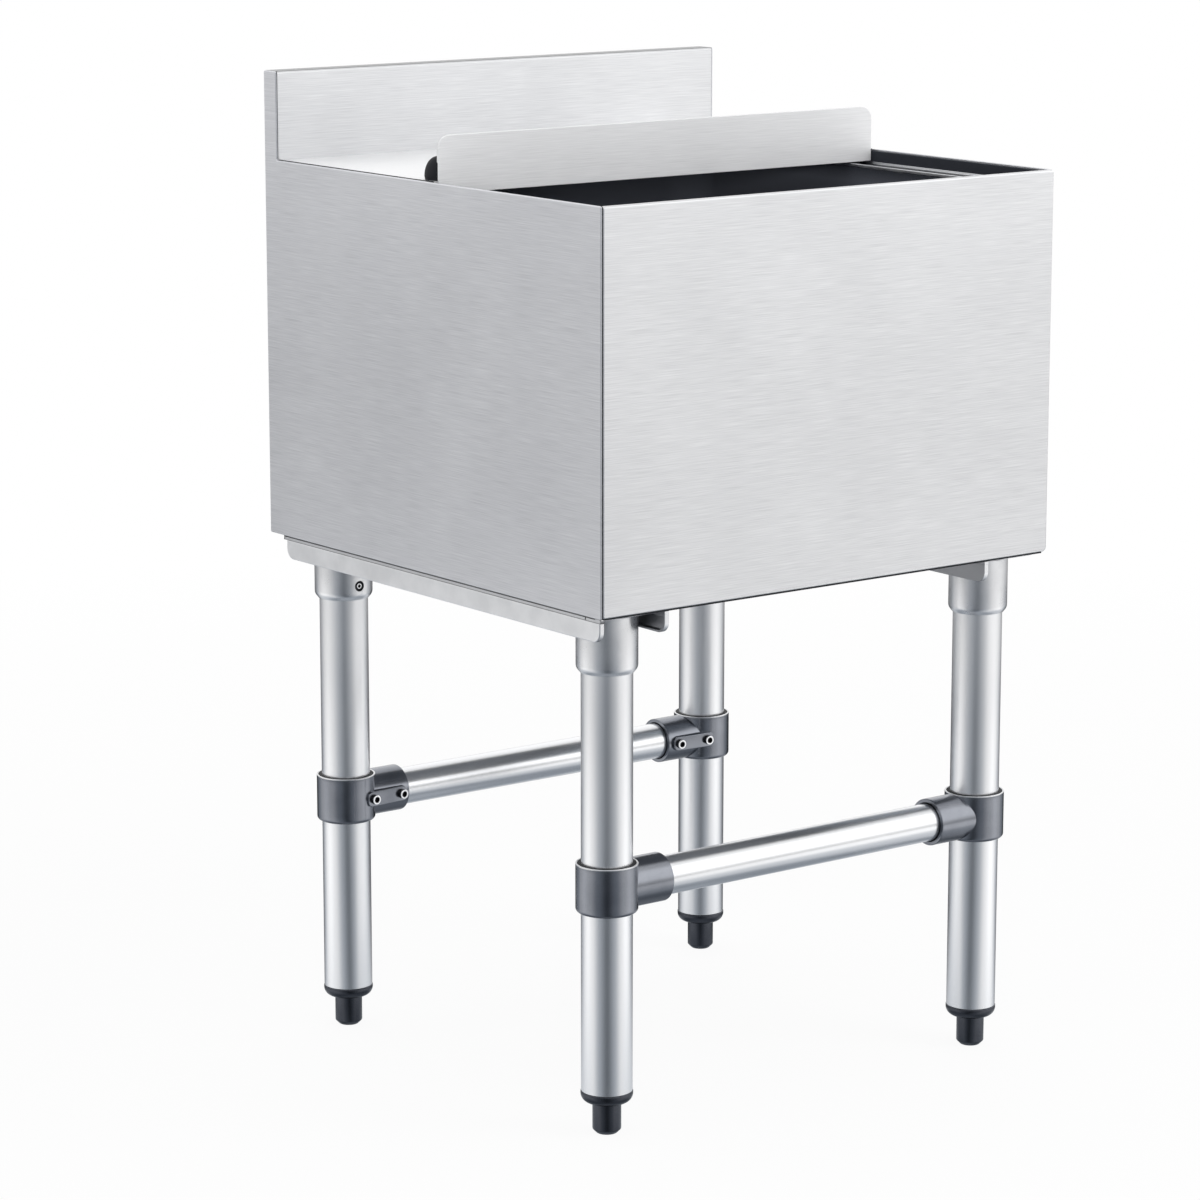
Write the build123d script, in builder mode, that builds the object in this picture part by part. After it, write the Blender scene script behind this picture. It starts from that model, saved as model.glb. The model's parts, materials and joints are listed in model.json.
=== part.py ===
"""Free-standing underbar ice bin: insulated box, sliding lid, backsplash, tube legs and cross rails.

Millimetres. +X is right seen from the front, the front faces -Y, +Z is up.
The origin is on the floor under the middle of the box.
"""

import os

from build123d import *

os.makedirs("parts", exist_ok=True)

# Casing
rim_height = 748.0
casing_bottom = 430.0
casing_width = 466.0
casing_depth = 466.0
sheet = 1.2
hem_fold = 1.4
hem_height = 11.0
bottom_flange = 15.0
corner_return = 18.0
corner_radius = 1.8
splash_height = 74.0
splash_depth = 18.0

# Base pan
pan_edge = 3.5
pan_side_inset = 0.8
pan_front_inset = 2.0
pan_rear_inset = 20.0

# Liner
liner_wall = 2.5
ledge_drop = 12.0
ledge_width = 25.0
floor_foam = 38.0
basin_corner = 30.0
basin_floor_radius = 20.0

# Lid rails, lid and rear deck
rail_sheet = 1.2
rail_lip = 1.6
lid_sheet = 1.2
lid_side_gap = 1.5
lid_overlap = 12.0
lid_rear_gap = 8.3
running_gap = 0.3
glide_thickness = 2.0
glide_width = 18.0
glide_length = 40.0
glide_end_distance = 30.0
rivet_radius = 2.0
rivet_head_radius = 4.0
rivet_head_height = 1.0
rivet_pitch = 22.0
rivet_recess = 0.8
handle_rise = 37.0
handle_hem = 22.0
handle_corner = 11.0
lid_bend = 1.0
deck_gap = 1.2
deck_lip = 6.0
buffer_radius = 13.0
buffer_height = 19.0
buffer_dome = 8.5
buffer_stem_radius = 4.0
buffer_stem_length = 3.0

# Drain
drain_shank_radius = 18.0
drain_shank_show = 3.0
drain_tail_radius = 16.7
drain_tail_length = 34.0
drain_bore = 13.0
drain_flange_radius = 32.0
drain_flange_thickness = 5.0
gasket_thickness = 2.0
sump_gap = 3.0
strainer_radius = 24.0
strainer_thickness = 1.2
strainer_hole_radius = 2.2
strainer_ring_radii = (10.0, 17.5)
strainer_ring_counts = (8, 14)
cross_bar_width = 10.0
strainer_screw_radius = 2.5
strainer_screw_head_radius = 4.5
strainer_screw_head_height = 2.6
strainer_screw_length = 4.0
locknut_flats = 48.0
locknut_height = 10.0
thread_gap = 0.1

# Leg channels and sockets
channel_sheet = 2.0
channel_lip = 4.5
channel_height = 15.5
channel_front_inset = 1.5
channel_rear_inset = 25.0
channel_web_inset = 15.5
channel_corner = 9.0
right_flange_setback = 95.0
socket_wall = 3.75
socket_side_room = 5.4
socket_height = 46.5
socket_roof = 3.0
socket_chamfer = 3.0
socket_gap = 0.2
set_screw_radius = 4.0
set_screw_height = 12.5
set_screw_length = 2.4
set_screw_key = 4.0
set_screw_key_depth = 1.6

# Legs, tee clamps and cross rails
leg_side_inset = 38.0
leg_front_inset = 42.0
leg_rear_inset = 54.0
leg_radius = 20.65
leg_wall = 1.5
tee_center_height = 203.0
tee_ring_wall = 3.85
tee_ring_height = 40.0
tee_branch_wall = 3.75
tee_reach = 52.5
tee_round = 2.0
tee_leg_gap = 0.5
tee_rail_gap = 0.15
tee_pad_height = 13.0
tee_pad_start = 6.0
tee_pad_end_gap = 3.5
tee_pad_proud = 4.2
tee_screw_places = (13.0, 43.0)
tee_screw_radius = 2.5
tee_screw_depth = 2.8
tee_screw_head_radius = 4.0
tee_screw_head_height = 3.2
tee_screw_head_round = 1.0
tee_screw_key = 3.4
tee_screw_key_depth = 2.0
rail_radius = 15.9
rail_wall = 1.5
rail_end_gap = 3.0

# Feet
foot_radius = 11.6
foot_exposed = 26.0
foot_engaged = 46.0
foot_chamfer = 3.5
foot_gap = 0.1
insert_overhang = 0.45
insert_collar_height = 9.5
insert_round = 7.5
insert_sleeve_length = 31.0
insert_gap = 0.1

# Places that several pieces share
half_width = casing_width / 2
half_depth = casing_depth / 2
hem = sheet + hem_fold
splash_top = rim_height + splash_height
deck_back = half_depth - splash_depth
deck_bottom = rim_height - sheet
liner_half_width = half_width - hem
liner_half_depth = half_depth - hem
track_height = rim_height - ledge_drop
ledge_height = track_height - rail_sheet
ledge_outer_x = liner_half_width - liner_wall
basin_half_width = ledge_outer_x - ledge_width
basin_half_depth = liner_half_depth - liner_wall - ledge_width
liner_bottom = casing_bottom + sheet + floor_foam
basin_floor = liner_bottom + liner_wall
sump_depth = drain_flange_thickness + gasket_thickness
sump_radius = drain_flange_radius + sump_gap
gasket_bottom = basin_floor - sump_depth
handle_thickness = 2 * lid_sheet
handle_top = rim_height + handle_rise
closed_handle_front = -liner_half_depth + liner_wall + lid_side_gap
lid_back = liner_half_depth - liner_wall - lid_rear_gap
handle_front = (lid_back + closed_handle_front - handle_thickness - deck_gap - lid_overlap) / 2
handle_back = handle_front + handle_thickness
deck_front = handle_back + deck_gap
lid_bottom = track_height + running_gap + glide_thickness
lid_half_width = ledge_outer_x - lid_side_gap
glide_x = ledge_outer_x - ledge_width / 2
pan_bottom = casing_bottom - pan_edge
socket_radius = leg_radius + socket_gap + socket_wall
channel_width = leg_side_inset + socket_radius + socket_side_room
socket_top = pan_bottom - channel_sheet
socket_bottom = socket_top - socket_height
tee_ring_radius = leg_radius + tee_leg_gap + tee_ring_wall
tee_branch_radius = rail_radius + tee_rail_gap + tee_branch_wall
insert_collar_radius = leg_radius + insert_overhang
leg_x = half_width - leg_side_inset
leg_front_y = -half_depth + leg_front_inset
leg_rear_y = half_depth - leg_rear_inset
leg_bottom = foot_exposed + insert_collar_height
leg_top = socket_top - socket_roof
leg_corners = {
    "front_left": (-1, leg_front_y, 1),
    "front_right": (1, leg_front_y, 1),
    "rear_left": (-1, leg_rear_y, -1),
    "rear_right": (1, leg_rear_y, -1),
}


def block(x, y, z, mode=Mode.ADD):
    """Add a box between the given low and high values on each axis."""
    with Locations((sum(x) / 2, sum(y) / 2, sum(z) / 2)):
        Box(x[1] - x[0], y[1] - y[0], z[1] - z[0], mode=mode)


def disc(center, radius, z, mode=Mode.ADD):
    """Add an upright round bar between the given low and high values of z."""
    with Locations((*center, sum(z) / 2)):
        Cylinder(radius, z[1] - z[0], mode=mode)


def save(builder, name):
    """Label a finished piece and write its file."""
    builder.part.label = name
    export_step(builder.part, f"parts/{name}.step")


# Front panel: a face with hemmed top, bent-in returns at both ends and a bottom flange
front_half = half_width - sheet
with BuildPart() as front_panel:
    block((-front_half, front_half), (-half_depth, -half_depth + sheet), (casing_bottom, rim_height))
    block((-front_half, front_half), (-half_depth, -half_depth + hem), (rim_height - hem_height, rim_height))
    block((-front_half, front_half), (-half_depth, -half_depth + bottom_flange),
          (casing_bottom, casing_bottom + sheet))
    for side in (-1, 1):
        block(sorted((side * front_half, side * (front_half - sheet))),
              (-half_depth, -half_depth + corner_return), (casing_bottom, rim_height - hem_height))
    fillet(front_panel.edges().filter_by(Axis.Z).group_by(Axis.Y)[0], corner_radius)
save(front_panel, "front_panel")

# Side panels: one sheet each, up into the end of the backsplash
for side, name in ((-1, "side_panel_left"), (1, "side_panel_right")):
    with BuildPart() as side_panel:
        with BuildSketch(Plane.YZ.offset(side * half_width)):
            with BuildLine():
                Polyline(
                    (-half_depth, casing_bottom),
                    (half_depth, casing_bottom),
                    (half_depth, splash_top),
                    (deck_back, splash_top),
                    (deck_back, rim_height),
                    (-half_depth, rim_height),
                    close=True,
                )
            make_face()
        extrude(amount=-side * sheet)
        block(sorted((side * half_width, side * (half_width - hem))), (-half_depth + hem, deck_back),
              (rim_height - hem_height, rim_height))
        block(sorted((side * half_width, side * (half_width - bottom_flange))),
              (-half_depth + max(corner_return, bottom_flange), half_depth - bottom_flange),
              (casing_bottom, casing_bottom + sheet))
    save(side_panel, name)

# Back panel, up behind the backsplash
with BuildPart() as back_panel:
    block((-front_half, front_half), (half_depth - sheet, half_depth), (casing_bottom, splash_top - sheet))
    block((-front_half, front_half), (half_depth - bottom_flange, half_depth),
          (casing_bottom, casing_bottom + sheet))
save(back_panel, "back_panel")

# Backsplash cover: front face standing on the deck, and the top
with BuildPart() as backsplash:
    block((-front_half, front_half), (deck_back, deck_back + sheet), (rim_height, splash_top))
    block((-front_half, front_half), (deck_back, half_depth), (splash_top - sheet, splash_top))
    fillet(backsplash.edges().filter_by(Axis.X).group_by(Axis.Y)[0].sort_by(Axis.Z)[-1:], corner_radius)
save(backsplash, "backsplash")

# Rear deck, level with the rim, with a lip over the lid and a hole for each buffer
deck_half = half_width - hem
buffer_x = deck_half - buffer_radius - lid_side_gap - liner_wall
buffer_y = handle_back + running_gap + buffer_radius
with BuildPart() as rear_deck:
    block((-deck_half, deck_half), (deck_front, half_depth - sheet), (deck_bottom, rim_height))
    block((-lid_half_width, lid_half_width), (deck_front, deck_front + sheet),
          (rim_height - deck_lip, rim_height))
    for side in (-1, 1):
        disc((side * buffer_x, buffer_y), buffer_stem_radius + thread_gap,
             (deck_bottom, rim_height), Mode.SUBTRACT)
save(rear_deck, "rear_deck")

# Buffers: domed rubber buttons pushed into the deck behind the lid's handle
with BuildPart() as deck_buffers:
    for side in (-1, 1):
        disc((side * buffer_x, buffer_y), buffer_radius, (rim_height, rim_height + buffer_height))
    fillet(deck_buffers.faces().sort_by(Axis.Z)[-2:].edges(), buffer_dome)
    for side in (-1, 1):
        disc((side * buffer_x, buffer_y), buffer_stem_radius, (deck_bottom - buffer_stem_length, rim_height))
save(deck_buffers, "deck_buffers")

# Base pan: shallow tray turned down at its edges, with a hole for the drain
with BuildPart() as base_pan:
    pan_x = half_width - pan_side_inset
    pan_y = (-half_depth + pan_front_inset, half_depth - pan_rear_inset)
    block((-pan_x, pan_x), pan_y, (pan_bottom, casing_bottom))
    block((-pan_x + sheet, pan_x - sheet), (pan_y[0] + sheet, pan_y[1] - sheet),
          (pan_bottom, casing_bottom - sheet), Mode.SUBTRACT)
    disc((0, 0), drain_shank_radius + thread_gap, (pan_bottom, casing_bottom), Mode.SUBTRACT)
save(base_pan, "base_pan")

# Volumes inside and outside the basin, which shape the liner and the foam
with BuildPart() as basin_outside:
    with BuildSketch(Plane.XY.offset(liner_bottom)):
        RectangleRounded(2 * (basin_half_width + liner_wall), 2 * (basin_half_depth + liner_wall),
                         basin_corner + liner_wall)
    extrude(amount=ledge_height - liner_bottom)
    fillet(basin_outside.faces().sort_by(Axis.Z)[0].edges(), basin_floor_radius + liner_wall)
    disc((0, 0), sump_radius + liner_wall, (liner_bottom - sump_depth, liner_bottom))
with BuildPart() as basin_inside:
    with BuildSketch(Plane.XY.offset(basin_floor)):
        RectangleRounded(2 * basin_half_width, 2 * basin_half_depth, basin_corner)
    extrude(amount=ledge_height - basin_floor)
    fillet(basin_inside.faces().sort_by(Axis.Z)[0].edges(), basin_floor_radius)
    disc((0, 0), sump_radius, (gasket_bottom, basin_floor))

# Liner: upper wall, ledge and basin in one moulding
with BuildPart() as liner:
    block((-liner_half_width, liner_half_width), (-liner_half_depth, liner_half_depth),
          (ledge_height - liner_wall, deck_bottom))
    block((-ledge_outer_x, ledge_outer_x),
          (-liner_half_depth + liner_wall, liner_half_depth - liner_wall),
          (ledge_height, deck_bottom), Mode.SUBTRACT)
    add(basin_outside.part)
    add(basin_inside.part, mode=Mode.SUBTRACT)
    disc((0, 0), drain_shank_radius + thread_gap, (liner_bottom - sump_depth, basin_floor), Mode.SUBTRACT)
save(liner, "liner")

# Foam that fills the space between liner and casing
with BuildPart() as foam:
    foam_half = half_width - 2 * sheet
    block((-foam_half, foam_half), (-half_depth + sheet, half_depth - sheet),
          (casing_bottom + sheet, ledge_height - liner_wall))
    add(basin_outside.part, mode=Mode.SUBTRACT)
    disc((0, 0), drain_shank_radius + thread_gap, (casing_bottom, basin_floor), Mode.SUBTRACT)
save(foam, "insulation_foam")

# Lid rails: shallow tracks on the left and right ledges
for side, name in ((-1, "lid_rail_left"), (1, "lid_rail_right")):
    with BuildPart() as lid_rail:
        rail_y = (-liner_half_depth + liner_wall, liner_half_depth - liner_wall)
        block(sorted((side * basin_half_width, side * ledge_outer_x)), rail_y, (ledge_height, track_height))
        for edge in (basin_half_width, ledge_outer_x - rail_sheet):
            block(sorted((side * edge, side * (edge + rail_sheet))), rail_y,
                  (ledge_height, track_height + rail_lip))
    save(lid_rail, name)

# Places of the glides under the lid and of the two rivets in each
glide_places = [
    (side * glide_x, y)
    for side in (-1, 1)
    for y in (handle_front + glide_end_distance, lid_back - glide_end_distance)
]
rivet_places = [(x, y + step * rivet_pitch / 2) for x, y in glide_places for step in (-1, 1)]

# Sliding lid: flat sheet bent up into the handle plate, whose edge is doubled
with BuildPart() as sliding_lid:
    block((-lid_half_width, lid_half_width), (handle_front, lid_back), (lid_bottom, lid_bottom + lid_sheet))
    with BuildSketch(Plane.XZ.offset(-handle_front)):
        with Locations((0, (lid_bottom + handle_top) / 2)):
            handle_face = Rectangle(2 * lid_half_width, handle_top - lid_bottom)
        fillet(handle_face.vertices().group_by(Axis.Y)[-1], handle_corner)
    extrude(amount=-lid_sheet)
    with BuildSketch(Plane.XZ.offset(-handle_front - lid_sheet)):
        with Locations((0, handle_top - handle_hem / 2)):
            handle_fold = Rectangle(2 * lid_half_width, handle_hem)
        fillet(handle_fold.vertices().group_by(Axis.Y)[-1], handle_corner)
    extrude(amount=-lid_sheet)
    fillet(sliding_lid.edges().filter_by(Axis.X).group_by(Axis.Z)[0].sort_by(Axis.Y)[:1], lid_bend)
    for x, y in rivet_places:
        disc((x, y), rivet_radius + thread_gap, (lid_bottom, lid_bottom + lid_sheet), Mode.SUBTRACT)
save(sliding_lid, "sliding_lid")

# Glides under the lid, which run in the rails
with BuildPart() as lid_glides:
    for x, y in glide_places:
        block((x - glide_width / 2, x + glide_width / 2), (y - glide_length / 2, y + glide_length / 2),
              (lid_bottom - glide_thickness, lid_bottom))
    for x, y in rivet_places:
        disc((x, y), rivet_radius + thread_gap, (lid_bottom - glide_thickness, lid_bottom), Mode.SUBTRACT)
save(lid_glides, "lid_glides")

# Rivets that hold the glides to the lid
with BuildPart() as glide_rivets:
    rivet_top = lid_bottom + lid_sheet
    for x, y in rivet_places:
        disc((x, y), rivet_radius, (lid_bottom - glide_thickness + rivet_recess, rivet_top))
        disc((x, y), rivet_head_radius, (rivet_top, rivet_top + rivet_head_height))
save(glide_rivets, "glide_rivets")

# Drain body: flange in the sump, tail pipe below, cross bar for the strainer screw
flange_bottom = gasket_bottom + gasket_thickness
flange_top = flange_bottom + drain_flange_thickness
seat_height = flange_top - strainer_thickness
bar_bottom = seat_height - strainer_screw_length
nut_top = casing_bottom - sheet
nut_bottom = nut_top - locknut_height
shank_end = nut_bottom - drain_shank_show
drain_end = shank_end - drain_tail_length
with BuildPart() as drain_body:
    disc((0, 0), drain_flange_radius, (flange_bottom, flange_top))
    disc((0, 0), drain_shank_radius, (shank_end, flange_bottom))
    disc((0, 0), drain_tail_radius, (drain_end, shank_end))
    disc((0, 0), drain_bore, (drain_end, flange_top), Mode.SUBTRACT)
    block((-drain_bore, drain_bore), (-cross_bar_width / 2, cross_bar_width / 2), (bar_bottom, seat_height))
    disc((0, 0), strainer_radius + thread_gap, (seat_height, flange_top), Mode.SUBTRACT)
    disc((0, 0), strainer_screw_radius + thread_gap, (bar_bottom, seat_height), Mode.SUBTRACT)
save(drain_body, "drain_body")

# Strainer: perforated disc in the flange
with BuildPart() as drain_strainer:
    disc((0, 0), strainer_radius, (seat_height, flange_top))
    with BuildSketch(Plane.XY.offset(seat_height)):
        Circle(strainer_screw_radius + thread_gap)
        for ring_radius, count in zip(strainer_ring_radii, strainer_ring_counts):
            with PolarLocations(ring_radius, count):
                Circle(strainer_hole_radius)
    extrude(amount=strainer_thickness, mode=Mode.SUBTRACT)
save(drain_strainer, "drain_strainer")

# Strainer screw
with BuildPart() as strainer_screw:
    disc((0, 0), strainer_screw_radius, (bar_bottom, flange_top))
    disc((0, 0), strainer_screw_head_radius, (flange_top, flange_top + strainer_screw_head_height))
    fillet(strainer_screw.faces().sort_by(Axis.Z)[-1].edges(), strainer_screw_head_height / 2)
save(strainer_screw, "strainer_screw")

# Gasket under the drain flange
with BuildPart() as drain_gasket:
    disc((0, 0), drain_flange_radius, (gasket_bottom, flange_bottom))
    disc((0, 0), drain_shank_radius + thread_gap, (gasket_bottom, flange_bottom), Mode.SUBTRACT)
save(drain_gasket, "drain_gasket")

# Lock nut under the base pan
with BuildPart() as drain_locknut:
    with BuildSketch(Plane.XY.offset(nut_bottom)):
        RegularPolygon(locknut_flats / 2, 6, major_radius=False)
        Circle(drain_shank_radius + thread_gap, mode=Mode.SUBTRACT)
    extrude(amount=locknut_height)
save(drain_locknut, "drain_locknut")

# Leg channels: web under the pan, two flanges with turned-in lips, the right outer one starting further back
channel_front = -half_depth + channel_front_inset
channel_back = half_depth - channel_rear_inset
for side, name, outer_start in (
    (-1, "leg_channel_left", channel_front),
    (1, "leg_channel_right", channel_front + right_flange_setback),
):
    with BuildPart() as leg_channel:
        for flange_x, inward, start in (
            (half_width, -side, outer_start),
            (half_width - channel_width, side, channel_front),
        ):
            flange_length = channel_back - start
            flange_middle = ((start + channel_back) / 2, pan_bottom - channel_height / 2)
            with BuildSketch(Plane.YZ.offset(side * flange_x)):
                with Locations(flange_middle):
                    outline = Rectangle(flange_length, channel_height)
                fillet(outline.vertices().group_by(Axis.Y)[0], channel_corner)
            extrude(amount=inward * channel_lip)
            with BuildSketch(Plane.YZ.offset(side * flange_x + inward * channel_sheet)):
                with Locations(flange_middle):
                    pocket = Rectangle(flange_length - 2 * channel_sheet, channel_height - 2 * channel_sheet)
                fillet(pocket.vertices().group_by(Axis.Y)[0], channel_corner - channel_sheet)
            extrude(amount=inward * (channel_lip - channel_sheet), mode=Mode.SUBTRACT)
        block(sorted((side * half_width, side * (half_width - channel_width))),
              (channel_front + channel_web_inset, channel_back), (socket_top, pan_bottom))
    save(leg_channel, name)

# Leg sockets: cups under the channels, each with a threaded hole on its inner side
set_screw_z = socket_bottom + set_screw_height
for corner, (side, y, inner) in leg_corners.items():
    with BuildPart() as socket:
        disc((side * leg_x, y), socket_radius, (socket_bottom, socket_top))
        chamfer(socket.faces().sort_by(Axis.Z)[0].edges(), socket_chamfer)
        disc((side * leg_x, y), leg_radius + socket_gap, (socket_bottom, leg_top), Mode.SUBTRACT)
        with BuildSketch(Plane((side * leg_x, y, set_screw_z), x_dir=(1, 0, 0), z_dir=(0, inner, 0))):
            Circle(set_screw_radius + thread_gap)
        extrude(amount=socket_radius, mode=Mode.SUBTRACT)
    save(socket, f"socket_{corner}")

# Set screws that hold the legs in their sockets
with BuildPart() as set_screws:
    for side, y, inner in leg_corners.values():
        with BuildSketch(Plane((side * leg_x, y + inner * leg_radius, set_screw_z),
                               x_dir=(1, 0, 0), z_dir=(0, inner, 0))):
            Circle(set_screw_radius)
        extrude(amount=set_screw_length)
        key_y = y + inner * (leg_radius + set_screw_length - set_screw_key_depth)
        with BuildSketch(Plane((side * leg_x, key_y, set_screw_z), x_dir=(1, 0, 0), z_dir=(0, inner, 0))):
            RegularPolygon(set_screw_key / 2, 6, major_radius=False)
        extrude(amount=set_screw_key_depth, mode=Mode.SUBTRACT)
save(set_screws, "socket_set_screws")

# Leg tubes
for corner, (side, y, inner) in leg_corners.items():
    with BuildPart() as leg:
        disc((side * leg_x, y), leg_radius, (leg_bottom, leg_top))
        disc((side * leg_x, y), leg_radius - leg_wall, (leg_bottom, leg_top), Mode.SUBTRACT)
    save(leg, f"leg_{corner}")

# Tee clamps: ring round the leg, branch round the cross rail, screw pad on the inner side
pad_face = tee_branch_radius + tee_pad_proud
pad_length = tee_reach - tee_pad_start - tee_round - tee_pad_end_gap
pad_middle = tee_pad_start + pad_length / 2
tee_ring_z = (tee_center_height - tee_ring_height / 2, tee_center_height + tee_ring_height / 2)
for corner, (side, y, inner) in leg_corners.items():
    tee_center = (side * leg_x, y, tee_center_height)
    along_rail = Plane(tee_center, x_dir=(0, 1, 0), z_dir=(-side, 0, 0))
    towards_pad = Plane(tee_center, x_dir=(-side, 0, 0), z_dir=(0, inner, 0))
    with BuildPart() as tee:
        disc((side * leg_x, y), tee_ring_radius, tee_ring_z)
        fillet(tee.edges().filter_by(GeomType.CIRCLE), tee_round)
        with BuildSketch(along_rail):
            Circle(tee_branch_radius)
        extrude(amount=tee_reach)
        fillet(tee.edges().filter_by(GeomType.CIRCLE).sort_by(Axis.X)[-1 if side < 0 else 0], tee_round)
        with BuildSketch(towards_pad):
            with Locations((pad_middle, 0)):
                SlotOverall(pad_length, tee_pad_height)
        extrude(amount=pad_face)
        disc((side * leg_x, y), leg_radius + tee_leg_gap, tee_ring_z, Mode.SUBTRACT)
        with BuildSketch(along_rail):
            Circle(rail_radius + tee_rail_gap)
        extrude(amount=tee_reach, mode=Mode.SUBTRACT)
        with BuildSketch(towards_pad):
            with Locations(*[(place, 0) for place in tee_screw_places]):
                Circle(tee_screw_radius + thread_gap)
        extrude(amount=pad_face, mode=Mode.SUBTRACT)
    save(tee, f"tee_{corner}")

# Tee clamp screws with socket heads
with BuildPart() as tee_screws:
    for side, y, inner in leg_corners.values():
        for place in tee_screw_places:
            screw_x = side * (leg_x - place)
            head_y = y + inner * pad_face
            head = Plane((screw_x, head_y, tee_center_height), x_dir=(1, 0, 0), z_dir=(0, inner, 0))
            with BuildSketch(head):
                Circle(tee_screw_radius)
            extrude(amount=-tee_screw_depth)
            with BuildSketch(head):
                Circle(tee_screw_head_radius)
            extrude(amount=tee_screw_head_height)
            with BuildSketch(head.offset(tee_screw_head_height)):
                RegularPolygon(tee_screw_key / 2, 6, major_radius=False)
            extrude(amount=-tee_screw_key_depth, mode=Mode.SUBTRACT)
    rims = tee_screws.edges().filter_by(GeomType.CIRCLE)
    rims = rims.filter_by(lambda edge: abs(edge.radius - tee_screw_head_radius) < tee_screw_head_round / 2)
    outer_rims = rims.filter_by(
        lambda edge: min(abs(abs(edge.arc_center.Y - y) - pad_face - tee_screw_head_height)
                         for y in (leg_front_y, leg_rear_y)) < tee_screw_head_round / 2)
    fillet(outer_rims, tee_screw_head_round)
save(tee_screws, "tee_screws")

# Cross rails between the legs
rail_half = leg_x - leg_radius - rail_end_gap
for name, y in (("front", leg_front_y), ("rear", leg_rear_y)):
    with BuildPart() as cross_rail:
        with BuildSketch(Plane((-rail_half, y, tee_center_height), x_dir=(0, 1, 0), z_dir=(1, 0, 0))):
            Circle(rail_radius)
            Circle(rail_radius - rail_wall, mode=Mode.SUBTRACT)
        extrude(amount=2 * rail_half)
    save(cross_rail, f"cross_rail_{name}")

# Foot inserts: collar under the tube, sleeve inside it
for corner, (side, y, inner) in leg_corners.items():
    with BuildPart() as insert:
        disc((side * leg_x, y), insert_collar_radius, (foot_exposed, leg_bottom))
        fillet(insert.faces().sort_by(Axis.Z)[0].edges(), insert_round)
        disc((side * leg_x, y), leg_radius - leg_wall - insert_gap,
             (leg_bottom, leg_bottom + insert_sleeve_length))
        disc((side * leg_x, y), foot_radius + foot_gap,
             (foot_exposed, leg_bottom + insert_sleeve_length), Mode.SUBTRACT)
    save(insert, f"foot_insert_{corner}")

# Adjustable feet: stems that screw in and out of the inserts
for corner, (side, y, inner) in leg_corners.items():
    with BuildPart() as foot:
        disc((side * leg_x, y), foot_radius, (0, foot_exposed + foot_engaged))
        chamfer(foot.faces().sort_by(Axis.Z)[0].edges(), foot_chamfer)
    save(foot, f"foot_{corner}")
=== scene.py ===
"""Looks of the free-standing ice bin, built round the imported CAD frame. Metres, +Z up, front faces -Y."""

import json
import math

import bmesh
import bpy
from mathutils import Matrix, Vector

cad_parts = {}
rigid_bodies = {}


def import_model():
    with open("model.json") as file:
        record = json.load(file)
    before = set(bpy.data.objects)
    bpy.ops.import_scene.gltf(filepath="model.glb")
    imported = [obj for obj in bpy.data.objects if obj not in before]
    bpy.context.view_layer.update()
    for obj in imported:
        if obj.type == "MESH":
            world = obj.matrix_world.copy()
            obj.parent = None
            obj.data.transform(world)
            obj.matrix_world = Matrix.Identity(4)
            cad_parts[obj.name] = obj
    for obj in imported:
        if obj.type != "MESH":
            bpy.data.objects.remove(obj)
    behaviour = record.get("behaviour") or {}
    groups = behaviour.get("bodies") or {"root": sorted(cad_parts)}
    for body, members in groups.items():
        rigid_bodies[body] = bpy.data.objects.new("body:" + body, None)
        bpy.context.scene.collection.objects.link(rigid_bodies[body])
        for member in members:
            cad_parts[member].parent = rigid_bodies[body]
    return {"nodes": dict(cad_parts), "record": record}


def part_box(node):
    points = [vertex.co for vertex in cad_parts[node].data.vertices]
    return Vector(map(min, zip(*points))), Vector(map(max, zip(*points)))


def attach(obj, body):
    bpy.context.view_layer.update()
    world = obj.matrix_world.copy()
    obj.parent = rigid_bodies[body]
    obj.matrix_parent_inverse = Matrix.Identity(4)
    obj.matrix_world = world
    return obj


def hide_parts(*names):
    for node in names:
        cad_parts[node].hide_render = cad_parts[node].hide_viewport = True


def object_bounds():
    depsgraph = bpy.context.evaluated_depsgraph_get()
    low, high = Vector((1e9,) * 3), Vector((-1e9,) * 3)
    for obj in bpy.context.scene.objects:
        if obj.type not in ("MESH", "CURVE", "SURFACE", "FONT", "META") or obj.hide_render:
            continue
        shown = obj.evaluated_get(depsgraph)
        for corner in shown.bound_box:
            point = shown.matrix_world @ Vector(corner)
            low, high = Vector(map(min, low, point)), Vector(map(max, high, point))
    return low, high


for leftover in list(bpy.data.objects):
    bpy.data.objects.remove(leftover)

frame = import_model()
cad_low, cad_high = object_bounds()
nodes = frame["nodes"]
record = frame["record"]
body_of_node = {node: body for body, members in record["behaviour"]["bodies"].items() for node in members}
CORNERS = ("front_left", "front_right", "rear_left", "rear_right")
TINY = 0.0001

# Camera, set to the photograph's viewing angle
CAMERA_PLACE = (-2.1548, -2.7658, 1.0929)
CAMERA_AZIMUTH = 37.18
CAMERA_PITCH = 11.5
CAMERA_LENS = 126.95
CAMERA_SENSOR = 36.0

# Studio
FLOOR_SIZE = 60.0
FLOOR_TONE = 0.9
FLOOR_GLOW_NEAR = 0.93
FLOOR_FADE = (0.7, 2.2)
WORLD_LIGHT = 0.5

# Lamps: name, place, aim, size and power
LAMPS = [
    ("key_lamp", (1.0, -1.6, 1.8), (0.0, -0.1, 0.6), 1.0, 14.0),
    ("front_lamp", (-2.1, -2.7, 1.1), (0.0, 0.0, 0.7), 0.5, 45.0),
    ("top_lamp", (0.1, 0.4, 3.0), (0.0, 0.0, 0.5), 2.0, 20.0),
]

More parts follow.
